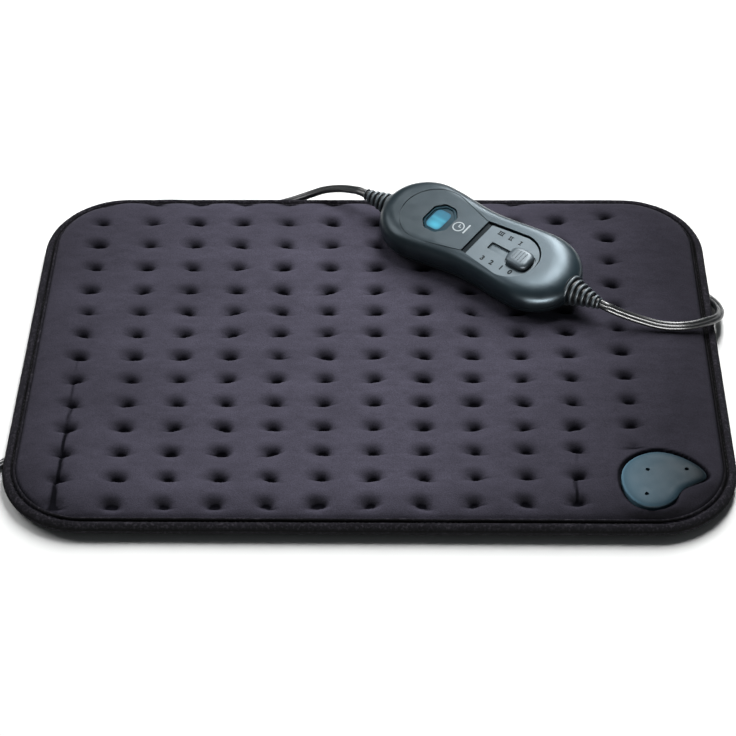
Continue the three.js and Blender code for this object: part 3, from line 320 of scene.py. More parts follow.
class Finish:
    """A node material, with the few kinds of detail that the pieces share."""

    def __init__(self, name, colour, roughness, **sockets):
        self.material = bpy.data.materials.new(name)
        self.material.use_nodes = True
        self.material.diffuse_color = (*colour, 1)
        self.tree = self.material.node_tree
        self.shader = self.tree.nodes["Principled BSDF"]
        self.colour = colour
        self.shader.inputs["Base Color"].default_value = (*colour, 1)
        self.shader.inputs["Roughness"].default_value = roughness
        for socket, value in sockets.items():
            self.shader.inputs[socket.replace("_", " ")].default_value = value
        self.place = self.tree.nodes.new("ShaderNodeTexCoord").outputs["Object"]

    def grain(self, scale, detail=3.0, stretch=None, warp=0.0):
        place = self.place
        if stretch:
            mapping = self.tree.nodes.new("ShaderNodeMapping")
            mapping.inputs["Scale"].default_value = stretch
            self.tree.links.new(place, mapping.inputs["Vector"])
            place = mapping.outputs["Vector"]
        node = self.tree.nodes.new("ShaderNodeTexNoise")
        node.inputs["Scale"].default_value = scale
        node.inputs["Detail"].default_value = detail
        node.inputs["Distortion"].default_value = warp
        self.tree.links.new(place, node.inputs["Vector"])
        return node.outputs["Fac"]

    def attribute(self, name):
        node = self.tree.nodes.new("ShaderNodeAttribute")
        node.attribute_name = name
        return node.outputs["Fac"]

    def spread(self, value, low, high, to_low, to_high):
        node = self.tree.nodes.new("ShaderNodeMapRange")
        node.inputs["From Min"].default_value = low
        node.inputs["From Max"].default_value = high
        node.inputs["To Min"].default_value = to_low
        node.inputs["To Max"].default_value = to_high
        self.tree.links.new(value, node.inputs["Value"])
        return node.outputs["Result"]

    def mixed(self, blend):
        """A mix over the colour so far."""
        node = self.tree.nodes.new("ShaderNodeMix")
        node.data_type = "RGBA"
        node.blend_type = blend
        node.inputs["A"].default_value = (*self.colour, 1)
        socket = self.shader.inputs["Base Color"]
        if socket.is_linked:
            self.tree.links.new(socket.links[0].from_socket, node.inputs["A"])
        self.tree.links.new(node.outputs["Result"], socket)
        return node

    def shade(self, value, low, high, darkest, lightest):
        """Scales the colour so far by a pattern, from darkest to lightest."""
        node = self.mixed("MULTIPLY")
        node.inputs["Factor"].default_value = 1
        self.tree.links.new(self.spread(value, low, high, darkest, lightest), node.inputs["B"])

    def tint(self, value, low, high, colour):
        """Turns the colour so far into another one where the pattern is high."""
        node = self.mixed("MIX")
        node.inputs["B"].default_value = (*colour, 1)
        self.tree.links.new(self.spread(value, low, high, 0, 1), node.inputs["Factor"])

    def mottle(self, scale, detail, darkest, lightest, stretch=None, warp=0.0):
        self.shade(self.grain(scale, detail, stretch, warp), *grain_shares, darkest, lightest)

    def polish(self, scale, detail, smoothest, roughest, stretch=None):
        pattern = self.spread(self.grain(scale, detail, stretch), *grain_shares, smoothest, roughest)
        self.tree.links.new(pattern, self.shader.inputs["Roughness"])

    def relief(self, value, depth, strength):
        """Raises a pattern by a depth in mm, on top of the relief so far."""
        node = self.tree.nodes.new("ShaderNodeBump")
        node.inputs["Strength"].default_value = strength
        node.inputs["Distance"].default_value = depth * mm
        socket = self.shader.inputs["Normal"]
        if socket.is_linked:
            self.tree.links.new(socket.links[0].from_socket, node.inputs["Normal"])
        self.tree.links.new(value, node.inputs["Height"])
        self.tree.links.new(node.outputs["Normal"], socket)

    def roughen(self, scale, detail, depth, strength, stretch=None):
        self.relief(self.grain(scale, detail, stretch), depth, strength)


def plush_finish():
    finish = Finish(
        "plush", (0.04, 0.0375, 0.052), 0.95, Sheen_Weight=0.03, Sheen_Roughness=0.5,
        Sheen_Tint=(0.62, 0.6, 0.72, 1), Specular_IOR_Level=0.05,
    )
    brushed = (0.5, 1, 1)
    # Painted light and shade across the pad, lighter in its middle and darker towards its edges
    finish.shade(finish.attribute("painted_light"), 0, 1, 0.3, 1.15)
    finish.mottle(34, 4, 0.88, 1.1, (0.55, 1, 1), 0.6)
    finish.mottle(240, 3, 0.9, 1.09, brushed)
    finish.mottle(1500, 2, 0.8, 1.18)
    # Painted shade: near black in the tufts, along the creases, in the gap beside the corner box and along
    # the binding
    finish.tint(finish.attribute("tuft"), 0.08, 0.62, (0.001, 0.001, 0.0025))
    finish.roughen(240, 3, 0.25, 0.5, brushed)
    finish.roughen(1500, 2, 0.3, 0.55)
    return finish.material


def backing_finish():
    finish = Finish("backing", (0.046, 0.042, 0.058), 0.95, Sheen_Weight=0.2)
    finish.mottle(60, 3, 0.85, 1.12)
    finish.mottle(1600, 2, 0.75, 1.2)
    finish.roughen(1600, 2, 0.3, 0.6)
    return finish.material


def tape_finish():
    finish = Finish("tape", (0.0082, 0.0078, 0.0103), 0.9, Specular_IOR_Level=0.06)
    weave = finish.tree.nodes.new("ShaderNodeTexWave")
    weave.inputs["Scale"].default_value = 420
    weave.inputs["Distortion"].default_value = 3
    weave.inputs["Detail"].default_value = 2
    finish.tree.links.new(finish.place, weave.inputs["Vector"])
    finish.mottle(90, 3, 0.75, 1.2)
    finish.shade(weave.outputs["Fac"], 0, 1, 0.8, 1.2)
    finish.tint(finish.grain(640, 3), 0.5, 0.8, (0.036, 0.033, 0.041))
    # Painted shade: near black in the seams, along the front band and in the valley on the right side
    finish.tint(finish.attribute("painted_tape_shade"), 0.3, 0.9, (0.0006, 0.0006, 0.0008))
    finish.relief(weave.outputs["Fac"], 0.12, 0.5)
    finish.roughen(1400, 2, 0.15, 0.5)
    return finish.material


def moulded_finish(name, colour, roughness, metallic=0.0, texture=0.03, gloss=0.5, painted_shade_attribute="", painted_light_axes=()):
    """Moulded plastic. A fade is painted light and shade along an axis: the axis, where it starts and ends
    in metres, and the colour scale at both.
    """
    finish = Finish(name, colour, roughness, Metallic=metallic, Specular_IOR_Level=gloss)
    finish.mottle(45, 3, 0.94, 1.05)
    finish.shade(finish.grain(2600, 1), 0.35, 0.65, 0.96, 1.04)
    if painted_light_axes:
        across = finish.tree.nodes.new("ShaderNodeSeparateXYZ")
        finish.tree.links.new(finish.place, across.inputs["Vector"])
        for axis, *span in painted_light_axes:
            finish.shade(across.outputs[axis], *span)
    if painted_shade_attribute:
        # Painted shade, near black where the given attribute is high
        finish.tint(finish.attribute(painted_shade_attribute), 0.2, 0.9, (0.002, 0.003, 0.004))
    finish.polish(160, 4, roughness * 0.9, roughness * 1.12)
    finish.roughen(1900, 2, texture, 0.6)
    return finish.material


def cord_finish():
    finish = Finish("cord", (0.006, 0.007, 0.008), 0.32, Specular_IOR_Level=0.8)
    finish.mottle(70, 3, 0.85, 1.15)
    finish.polish(60, 3, 0.3, 0.36)
    return finish.material


def fibre_finish(name, colour, scale, sheen=0.3):
    finish = Finish(name, colour, 0.95, Sheen_Weight=sheen)
    finish.mottle(scale / 8, 4, 0.85, 1.08)
    finish.mottle(scale, 3, 0.8, 1.15)
    finish.roughen(scale, 3, 0.3, 0.7)
    return finish.material


def metal_finish(name, colour, roughness):
    finish = Finish(name, colour, roughness, Metallic=1.0)
    drawn = (1, 1, 6)
    finish.mottle(120, 3, 0.88, 1.06)
    finish.polish(900, 2, roughness * 0.8, roughness * 1.4, drawn)
    finish.roughen(900, 2, 0.02, 0.4, drawn)
    return finish.material


def board_finish():
    finish = Finish("board", (0.03, 0.12, 0.045), 0.45, Coat_Weight=0.3)
    tracks = finish.tree.nodes.new("ShaderNodeTexBrick")
    tracks.inputs["Scale"].default_value = 180
    tracks.inputs["Mortar Size"].default_value = 0.06
    finish.tree.links.new(finish.place, tracks.inputs["Vector"])
    finish.tint(tracks.outputs["Fac"], 0, 1, (0.05, 0.2, 0.07))
    finish.polish(300, 3, 0.38, 0.52)
    return finish.material


def lens_finish():
    finish = Finish("lens", (0.009, 0.03, 0.042), 0.45, Specular_IOR_Level=0.06)
    finish.mottle(300, 2, 0.9, 1.1)
    finish.polish(500, 3, 0.4, 0.5)
    return finish.material


def display_finish():
    finish = Finish("lit_display", (0.004, 0.04, 0.07), 0.4, Specular_IOR_Level=0.15, Emission_Strength=0.62)
    glow = finish.tree.nodes.new("ShaderNodeValToRGB")
    stops = glow.color_ramp.elements
    for stop, position, colour in zip(stops, (0, 1), ((0.001, 0.04, 0.09, 1), (0.1, 0.72, 0.95, 1))):
        stop.position = position
        stop.color = colour
    finish.tree.links.new(finish.attribute("glow"), glow.inputs["Fac"])
    finish.tree.links.new(glow.outputs["Color"], finish.shader.inputs["Emission Color"])
    finish.mottle(500, 3, 0.85, 1.15)
    finish.polish(400, 3, 0.34, 0.46)
    return finish.material


plush = plush_finish()
backing = backing_finish()
tape = tape_finish()
thread = fibre_finish("thread", (0.005, 0.005, 0.006), 2200, sheen=0.0)
wadding = fibre_finish("wadding", (0.72, 0.7, 0.64), 900)
fleece = fibre_finish("fleece", (0.5, 0.47, 0.41), 1200)
strap = fibre_finish("strap", (0.014, 0.014, 0.016), 1800)
# Painted light and shade: the casing is darker at its display end and lighter towards its cord end
casing = moulded_finish(
    "casing", (0.0165, 0.03, 0.0385), 0.35, metallic=0.46, painted_light_axes=[("X", 0, 0.085, 0.68, 1.14)],
)
panel = moulded_finish("panel", (0.046, 0.068, 0.082), 0.46, metallic=0.3)
knob_shell = moulded_finish("knob", (0.062, 0.082, 0.096), 0.42, metallic=0.3, gloss=0.45)
# Dark plastic for the sunk pins; as the panel bar it is painted shade
dark_plastic_and_shade = moulded_finish("dark_plastic_and_shade", (0.005, 0.01, 0.013), 0.6, gloss=0.08)
# Painted light and shade: the box is lighter at its left and darker at its right, with a painted highlight
# on its wall and the low rim of its dome
box_shell = moulded_finish(
    "box", (0.0195, 0.037, 0.049), 0.46, gloss=0.05,
    painted_light_axes=[("X", 0.138, 0.178, 1.95, 0.22), ("Z", 0.0145, 0.0156, 2.6, 1)],
)
# Painted shade in the ring gaps and on the neck of each strain relief
rubber = moulded_finish("rubber", (0.07, 0.09, 0.102), 0.42, metallic=0.2, texture=0.05, painted_shade_attribute="gap")
plug_plastic = moulded_finish("plug_plastic", (0.018, 0.02, 0.022), 0.42, texture=0.05)
component = moulded_finish("component", (0.018, 0.019, 0.024), 0.5, texture=0.06)
wire_sheath = moulded_finish("wire_sheath", (0.56, 0.53, 0.45), 0.5)
dark_print = moulded_finish("dark_print", (0.003, 0.006, 0.008), 0.6, gloss=0.1)
light_print = moulded_finish("light_print", (0.27, 0.31, 0.33), 0.5)
cord = cord_finish()
lens = lens_finish()
lit_display = display_finish()
board = board_finish()
steel = metal_finish("steel", (0.62, 0.63, 0.64), 0.3)
nickel = metal_finish("nickel", (0.68, 0.67, 0.63), 0.22)

slot_finishes = {
    "plush": plush, "backing": backing, "wadding": wadding, "fleece": fleece, "wire": wire_sheath,
    "tape": tape, "box": box_shell, "casing": casing, "panel": panel, "knob": knob_shell, "lens": lens,
    "display": lit_display, "relief": rubber, "cord": cord, "board": board, "component": component,
    "steel": steel, "pin": nickel,
}
for row in frame["record"]["subparts"]:
    node = frame["nodes"][row["node"]]
    for slot in node.material_slots:
        slot.material = slot_finishes[row["material_slot"]]
for slot in frame["nodes"]["selector_shutter"].material_slots:
    slot.material = panel

# Pad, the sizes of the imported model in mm
pad_width = 400
pad_depth = 280
pad_corner = 48
pad_height = 16
side_edge = pad_width / 2
back_edge = pad_depth / 2

# Controller, its frame and its face's own frame
controller_from_side = 136.1
controller_from_back = 68.6
controller_height = 18.502116
controller_turn = 36.6
controller_lean = 10
face_turn = -2.6
face_shift = -1.9
parting_height = 10
casing_height = 21
display_end_x = -39
display_end_radius = 27.6
cord_end_x = 41.8
cord_end_radius = 26.7
waist_half_width = 23.6
cord_end = cord_end_x + cord_end_radius
display_end = display_end_x - display_end_radius

controller_place = (
    shift(side_edge - controller_from_side, back_edge - controller_from_back, controller_height)
    @ rotation(-controller_turn, "Z")
    @ rotation(controller_lean, "X")
)
face_on_casing = shift(0, face_shift, 0) @ rotation(face_turn, "Z")
face_place = controller_place @ face_on_casing


# Leads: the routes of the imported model, then the flat twin sheath laid along them
lead_diameter = 4.8
lead_width = 5.3
lead_thickness = 3.4
lead_gap = 0.3
relief_length = 17
box_x = side_edge - 41.5
box_y = 32.5 - back_edge
lead_bed = 2.5
curve_steps = 6

pad_lead_over = [
    (-58.9, -125.3, 26.2), (-46.0, -126.9, 21.7), (-32.0, -129.4, 19.2), (-18.5, -128.8, 18.5),
    (-7.4, -123.6, 16.8), (0.2, -116.4, 13.4), (3.5, -107.2, 9.6), (3.4, -96.8, 5.6), (0.2, -87.6, 2.9),
]
pad_lead_under = [
    (-8.4, -79.4, 2.5), (-19, -80.6, 2.5), (-26.6, -89, 2.5), (-31.6, -104, 2.5), (-35.5, -130, 2.5),
]
pad_lead_to_box = [(1.1, 57.5, 2.5), (0.3, 37.5, 2.5), (0.1, 19.5, 2.5)]
mains_lead_over = [
    (-212.8, -12.7, 26), (-221.4, -4.9, 20.8), (-232, 1.3, 14.5), (-244.4, 3.6, 7.6), (-255.4, 3.2, 3.6),
    (-267, 0.4, 2.5), (-280, -3.6, 2.5),
]
mains_crossing_shares = [
    (0.137, 0.07), (0.284, 0.172), (0.442, 0.308), (0.6, 0.467), (0.747, 0.637), (0.884, 0.818),
]
mains_lead_to_coil = [(25, 102, 2.5), (15, 74, 2.5), (3, 58, 2.6), (-10, 48.5, 3), (-28, 44.8, 3.5)]
tail_route = [(-31.6, -21.8, 19.6), (-26.6, -33.4, 14.4), (-20, -43, 9), (-12.4, -51, 5.6)]
coil_x = -side_edge - 56
coil_y = 10 - back_edge
coil_inner_radius = 20
coil_pitch = 6.1
coil_lift = 1.2
coil_layer_turns = [2.5, 2.5, 2.5, 2.25]
coil_steps = 36
coil_start_turn = 0.25
coil_climb_turn = 0.5
core_opening = 28
plug_x = coil_x + 4
plug_y = coil_y - 57
plug_length = 37
plug_width = 35.3
plug_height = 13.7


def placed(route, x, y):
    return [Vector((x + dx, y + dy, z)) for dx, dy, z in route]


def relief_mouth(x, facing):
    return [
        controller_place @ (Vector((x + facing * reach, 0, parting_height)) * mm) / mm
        for reach in (lead_gap, lead_gap + lead_diameter)
    ]


def coil_points():
    points = []
    turn = coil_start_turn
    radius = coil_inner_radius + coil_layer_turns[0] * coil_pitch
    height = lead_diameter / 2 + coil_lift
    moves = []
    for layer, turns in enumerate(coil_layer_turns):
        outward = 1 if layer % 2 else -1
        moves.append((turns, outward * turns * coil_pitch, 0))
        if layer < len(coil_layer_turns) - 1:
            moves.append((coil_climb_turn, 0, coil_pitch))

    def add(at, reach, level):
        points.append(Vector((
            coil_x + reach * math.cos(at * math.tau), coil_y + reach * math.sin(at * math.tau), level
        )))

    add(turn, radius, height)
    for turns, growth, climb in moves:
        steps = round(turns * coil_steps)
        for k in range(1, steps + 1):
            share = k / steps
            level = height + climb * (1 - math.cos(share * math.pi)) / 2
            add(turn + turns * share, radius + growth * share, level)
        turn += turns
        radius += growth
        height += climb
    return points


def twin_section(width, thickness, steps=7):
    """Two round cores side by side, with a groove between them above and below."""
    radius = thickness / 2
    centre = width / 2 - radius
    open_turn = math.radians(core_opening)
    section = []
    for side in (1, -1):
        start = -math.pi + open_turn if side > 0 else open_turn
        for k in range(2 * steps + 1):
            turn = start + (math.tau - 2 * open_turn) * k / (2 * steps)
            section.append((side * centre + radius * math.cos(turn), radius * math.sin(turn)))
    return section


lead_section = twin_section(lead_width, lead_thickness)
terminal_before = 2
terminal_depth = 8
terminal_front = box_y - terminal_before + terminal_depth / 2 + lead_gap
pad_lead_points = [
    *relief_mouth(cord_end + relief_length, 1),
    *placed(pad_lead_over, side_edge, back_edge),
    *placed(pad_lead_under, side_edge, back_edge),
    *placed(pad_lead_to_box, box_x, box_y),
    Vector((box_x, terminal_front, lead_bed)),
]
pad_lead_path = curve_through(pad_lead_points, curve_steps)
pad_lead_rolls = [-35, -38, -42, -45, -42, -30, -12] + [0] * 8
pad_lead = swept("pad_lead_sheath", pad_lead_path, lead_section, pad_lead_rolls)
dress(pad_lead, cord, stands_for=["pad_lead"])

over_back = placed(mains_lead_over, side_edge, back_edge)
to_coil = placed(mains_lead_to_coil, -side_edge, -back_edge)
crossing = [
    Vector((
        over_back[-1].x + (to_coil[0].x - over_back[-1].x) * x,
        over_back[-1].y + (to_coil[0].y - over_back[-1].y) * y,
        lead_bed,
    ))
    for x, y in mains_crossing_shares
]
coil = coil_points()
before_coil = coil[0] + Vector((lead_diameter * 2, 0, 0))
into_coil = coil[0] + Vector((lead_diameter, 0, 0))
out_of_coil = coil[-1] - Vector((0, lead_diameter, 0))
plug_mouth = Vector((plug_x - lead_gap, plug_y, plug_height / 2))
before_plug = plug_mouth - Vector((lead_diameter, 0, 0))
mains_mouth = relief_mouth(display_end - relief_length, -1)
mains_start = curve_through(
    [*mains_mouth, *over_back, *crossing, *to_coil, before_coil, into_coil], curve_steps
)
tail_points = [out_of_coil, *placed(tail_route, coil_x, coil_y), before_plug, plug_mouth]
mains_tail = curve_through(tail_points, curve_steps)
mains_path = [*mains_start, *coil, *mains_tail]
mains_shares = [len(mains_start) / len(mains_path), len(mains_tail) / len(mains_path)]
roll_steps = 60
mouth_roll = 30
mouth_share = 1 / 12
flat_share = 0.8 * mains_shares[0]
mains_rolls = []
for k in range(roll_steps + 1):
    share = k / roll_steps
    rising = within_one((share - flat_share) / (mains_shares[0] - flat_share))
    falling = within_one((share - 1 + mains_shares[1]) / mains_shares[1])
    mains_rolls.append(90 * (rising - falling) + mouth_roll * max(1 - share / mouth_share, 0))
mains_lead = swept("mains_lead_sheath", mains_path, lead_section, mains_rolls)
dress(mains_lead, cord, stands_for=["mains_lead", "mains_lead_coil", "mains_lead_tail"])


# Plug on the end of the mains lead
plug_side_shares = [(0, 0.26), (0.24, 0.32), (0.48, 0.58), (0.7, 0.93), (0.8, 1), (0.95, 1), (1, 0.93)]
plug_edge = 2.2
plug_steps = 5
grip_count = 5
grip_start = 15
grip_pitch = 3
grip_width = 1.3
grip_length = 12
grip_growth = 2.4
grip_corner = 0.6
grip_depth = 0.5
pin_spacing = 18.6
pin_profile = [(0, -8), (2, -8), (2, 17.6), (1.6, 18.6), (0.9, 19), (0, 19)]
sleeve_profile = [(0, 0.2), (2.05, 0.2), (2.05, 9.6), (1.9, 9.8), (0, 9.8)]


def plug_piece():
    knots = [Vector((x * plug_length, y * plug_width / 2, 0)) for x, y in plug_side_shares]
    side = [(point.x, point.y) for point in curve_through(knots, plug_steps)]
    outline = [(plug_x + x, plug_y - y) for x, y in side] + [(plug_x + x, plug_y + y) for x, y in side[::-1]]
    piece = plate("plug_shell", outline, 0, plug_height)
    round_edges(piece, plug_edge, plug_steps)
    for k in range(grip_count):
        x = plug_x + grip_start + k * grip_pitch
        groove = box_outline(x, plug_y, grip_width, grip_length + grip_growth * k, grip_corner)
        for level in (plug_height, 0):
            carve(piece, plate("grip", groove, level - grip_depth, level + grip_depth))
    smooth(piece)
    dress(piece, plug_plastic, stands_for=["plug_body"])
    return piece


def turned(name, profile, steps=24):
    """A profile of (radius, height) points turned once round the Z axis."""
    deselect()
    bpy.ops.mesh.primitive_circle_add(vertices=len(profile), fill_type="NOTHING")
    piece = named(name)
    for vertex, (radius, height) in zip(piece.data.vertices, profile):
        vertex.co = Vector((radius, 0, height)) * mm
    edit(piece)
    bpy.ops.mesh.select_all(action="SELECT")
    bpy.ops.mesh.spin(steps=steps, angle=math.tau, center=(0, 0, 0), axis=(0, 0, 1))
    face_outwards(piece)
    return piece


plug = plug_piece()
plug_pins = []
for k, side in enumerate((-1, 1)):
    place = shift(plug_x + plug_length, plug_y + side * pin_spacing / 2, plug_height / 2) @ rotation(90, "Y")
    pin = turned(f"plug_contact_{k + 1}", pin_profile)
    put(pin, place, nickel, stands_for=[f"plug_pin_{k + 1}"])
    sleeve = turned(f"plug_sleeve_{k + 1}", sleeve_profile)
    put(sleeve, place, plug_plastic)
    plug_pins += [pin, sleeve]


# Strap round the stored coil
strap_slack = 0.8
strap_thickness = 0.9
strap_half_width = 5
strap_corner = 4
strap_edge = 0.25
strap_turn = 315


def coil_strap():
    inner = coil_inner_radius - lead_diameter / 2 - strap_slack
    outer = coil_inner_radius + coil_layer_turns[0] * coil_pitch + lead_diameter / 2 + strap_slack
    layers = len(coil_layer_turns) - 1
    top = coil_lift + lead_diameter + layers * coil_pitch + strap_slack + strap_thickness
    length = outer - inner + 2 * strap_thickness
    outline = box_outline((inner + outer) / 2, top / 2, length, top, strap_corner, 8)
    piece = plate("coil_strap", outline, -strap_half_width, strap_half_width)
    edit(piece)
    select_faces(piece, lambda face: abs(face.normal.z) > level_share)
    bpy.ops.mesh.delete(type="FACE")
    deselect()
    apply_modifier(piece, "SOLIDIFY", thickness=strap_thickness * mm, offset=-1)
    round_edges(piece, strap_edge, 2)
    place = shift(coil_x, coil_y, 0) @ rotation(strap_turn, "Z") @ rotation(90, "X")
    put(piece, place, strap, stands_for=["coil_tie"])
    return piece


coil_tie = coil_strap()


# Pad outline at a distance in from the outer edge
def pad_outline(edge, corner_steps, straight_step):
    radius = pad_corner - edge
    half_x = side_edge - pad_corner
    half_y = back_edge - pad_corner
    corners = [(half_x, half_y), (-half_x, half_y), (-half_x, -half_y), (half_x, -half_y)]
    outline = []
    for side, (x, y) in enumerate(corners):
        for k in range(corner_steps + 1):
            turn = (side + k / corner_steps) * math.pi / 2
            outline.append((x + radius * math.cos(turn), y + radius * math.sin(turn)))
        next_x, next_y = corners[(side + 1) % 4]
        turn = (side + 1) * math.pi / 2
        steps = round(math.hypot(next_x - x, next_y - y) / straight_step)
        for k in range(1, steps):
            outline.append((
                x + (next_x - x) * k / steps + radius * math.cos(turn),
                y + (next_y - y) * k / steps + radius * math.sin(turn),
            ))
    return outline


def edge_distance(x, y):
    dx = max(abs(x) - (side_edge - pad_corner), 0)
    dy = max(abs(y) - (back_edge - pad_corner), 0)
    if dx > 0 and dy > 0:
        return pad_corner - math.hypot(dx, dy)
    return min(side_edge - abs(x), back_edge - abs(y))


# Corner box outline, bezier stretches in shares of its half length and half depth
box_length = 47
box_depth = 42
box_start_shares = (-1, 0.02)
box_outline_shares = [
    [(-1, 0.62), (-0.52, 0.98), (-0.1, 1)],
    [(0.32, 1), (0.78, 0.62), (0.94, 0.34)],
    [(1.04, 0.16), (1.02, 0.02), (0.88, -0.08)],
    [(0.6, -0.28), (0.42, -0.28), (0.28, -0.6)],
    [(0.12, -0.92), (-0.16, -1), (-0.34, -1)],
    [(-0.72, -1), (-1, -0.56), (-1, 0.02)],
]


def drop_outline(share=1.0, steps=14):
    outline = []
    start = Vector(box_start_shares).to_3d()
    for stretch in box_outline_shares:
        first, second, end = (Vector(point).to_3d() for point in stretch)
        outline += geometry.interpolate_bezier(start, first, second, end, steps + 1)[:-1]
        start = end
    half_x = share * box_length / 2
    half_y = share * box_depth / 2
    return [(box_x + point.x * half_x, box_y + point.y * half_y) for point in outline[::-1]]


def outline_distance(outline, x, y):
    """Distance from an outline, less than zero inside it."""
    point = Vector((x, y))
    nearest = 1e9
    inside = False
    for k, (bx, by) in enumerate(outline):
        ax, ay = outline[k - 1]
        a = Vector((ax, ay))
        b = Vector((bx, by))
        share = within_one((point - a).dot(b - a) / max((b - a).length_squared, 1e-9))
        nearest = min(nearest, (point - a - (b - a) * share).length)
        if (ay > y) != (by > y) and x < ax + (bx - ax) * (y - ay) / (by - ay):
            inside = not inside
    return -nearest if inside else nearest


# Tufts: their rows and columns, and how far these leave straight lines in the photograph
tuft_rows = 13
tuft_columns = 12
last_column = tuft_columns - 1
tuft_front_edge = 11.7
tuft_row_pitch = 19.2
tuft_back_pitch = 21.1
wide_back_rows = 3
tuft_left_edge = 33.1
left_aside = 0.8
left_columns = 5
tuft_column_pitch = 27.62
tuft_end_pitch = 31.3
row_rise = 1.5
row_rise_end = 9
row_rise_rows = 2
row_rise_columns = 6
corner_rise = 0.62
corner_rise_column = 7
corner_rise_rows = 3
end_rise = 2.2
end_rise_behind = 4.4
end_aside = 0.5
end_aside_behind = 2.6
end_start_row = 2
end_column_shares = {last_column - 1: 0.35, last_column: 1}
behind_start_row = 4
behind_rows = 5
rows_before_box = 2
front_row_shift = 1.6
front_row_aside = 1.3
hem_row_y = 129.4


def tuft_places():
    places = []
    for row in range(tuft_rows):
        back_rows = max(0, row - (tuft_rows - 1 - wide_back_rows))
        y = tuft_front_edge - back_edge + (row - back_rows) * tuft_row_pitch + back_rows * tuft_back_pitch
        if row == 0:
            y += front_row_shift
        rising = row_rise * within_one((row_rise_end - row) / row_rise_rows)
        behind = within_one((row - behind_start_row) / behind_rows)
        for column in range(tuft_columns):
            if column == last_column and row < rows_before_box:
                continue
            lift = rising * min(column / row_rise_columns, 1)
            if row < corner_rise_rows:
                lift += corner_rise * max(column - corner_rise_column, 0)
            inner = min(max(column - 1, 0), last_column - 2)
            ends = min(column, 1) + max(0, column - last_column + 1)
            x = tuft_left_edge - side_edge + ends * tuft_end_pitch + inner * tuft_column_pitch
            x += left_aside * max(1 - column / left_columns, 0)
            if row == 0:
                x -= front_row_aside
            end_share = end_column_shares.get(column, 0) if row >= end_start_row else 0
            x -= end_share * (end_aside + end_aside_behind * behind)
            lift += end_share * (end_rise + end_rise_behind * behind)
            places.append((x, y + lift, row, column))
    return places


tufts = tuft_places()


def drawn_in(dx, dy, wide, deep):
    return math.exp(-((dx / wide) ** 2 + (dy / deep) ** 2))


def ridge(distance, reach):
    return drawn_in(distance, 0, reach, 1)


# Unevenness: its pitch along X and along Y in mm, and its slice of the noise
swell_wave = (38, 30, 1.7)
ripple_wave = (14, 11, 4.2)
painted_light_wave = (70, 60, 8.8)
backing_wave = (25, 25, 9.1)
tuft_wave = (1 / 0.37, 1 / 0.41, 5.3)


def waviness(x, y, wave):
    return noise.noise(Vector((x / wave[0], y / wave[1], wave[2])))


# Crown of the top cover
cover_edge = 7.4
cover_edge_height = 8.9
crown_reach = 25
crown_power = 0.5
crown_front_power = 0.1
swell_rise = 0.35
swell_offset = 0.6
ripple_rise = 0.12


def crown_height(x, y, edge):
    share = within_one((edge - cover_edge) / crown_reach)
    fullness = crown_power - crown_front_power * y / back_edge
    height = cover_edge_height + (pad_height - cover_edge_height) * math.sin(share ** fullness * math.pi / 2)
    uneven = swell_rise * (waviness(x, y, swell_wave) - swell_offset)
    uneven += ripple_rise * waviness(x, y, ripple_wave)
    return height + share * uneven


# One tuft: a wide dip, a narrow core and a pinch across it, with painted shade in the core, along the pinch
# and in a soft patch behind it
size_spread_share = 0.2
last_front_tuft_share = 0.5
tilt_scale = 3.1
tilt_share = 0.5
notch_pitch = 2.6
notch_reach = 0.9
notch_slices = 9
dip_reach = (8.6, 7.4)
dip_depth = 0.9
core_aside = 0.3
core_width = 3.7
core_behind = 2.8
core_before = 1.4
core_depth = 4.3
pinch_reach = (6.4, 1.1)
pinch_before = 0.8
pinch_aside = 2
pinch_depth = 0.6
pinch_mark_share = 0.75
painted_halo_reach = (7.4, 4.8)
painted_halo_left = 1.6
painted_halo_behind = 2.8
painted_halo_share = 0.36

# Creases behind the front tufts, their depths by column, from the first row on; the creases and the front
# corner fold also get painted shade
crease_depths = {0: (1.8, 1.2, 1.0, 0.7, 0.5, 0.3), last_column - 1: (0.8, 0.3)}
crease_width = 0.95
corner_crease_spread = 1.5
corner_crease_reach = 15
crease_bend = 0.7
crease_bend_pitch = 6
crease_bend_slice = 3.3
crease_left = 0.5
crease_mark_share = 0.95
crease_mark_depth = 1.05
fold_width = 5
fold_share = 0.5
corner_fold_length = 11
corner_fold_slope = 0.55
corner_fold_width = 1.2
corner_fold_depth = 0.7
corner_fold_mark_share = 0.45


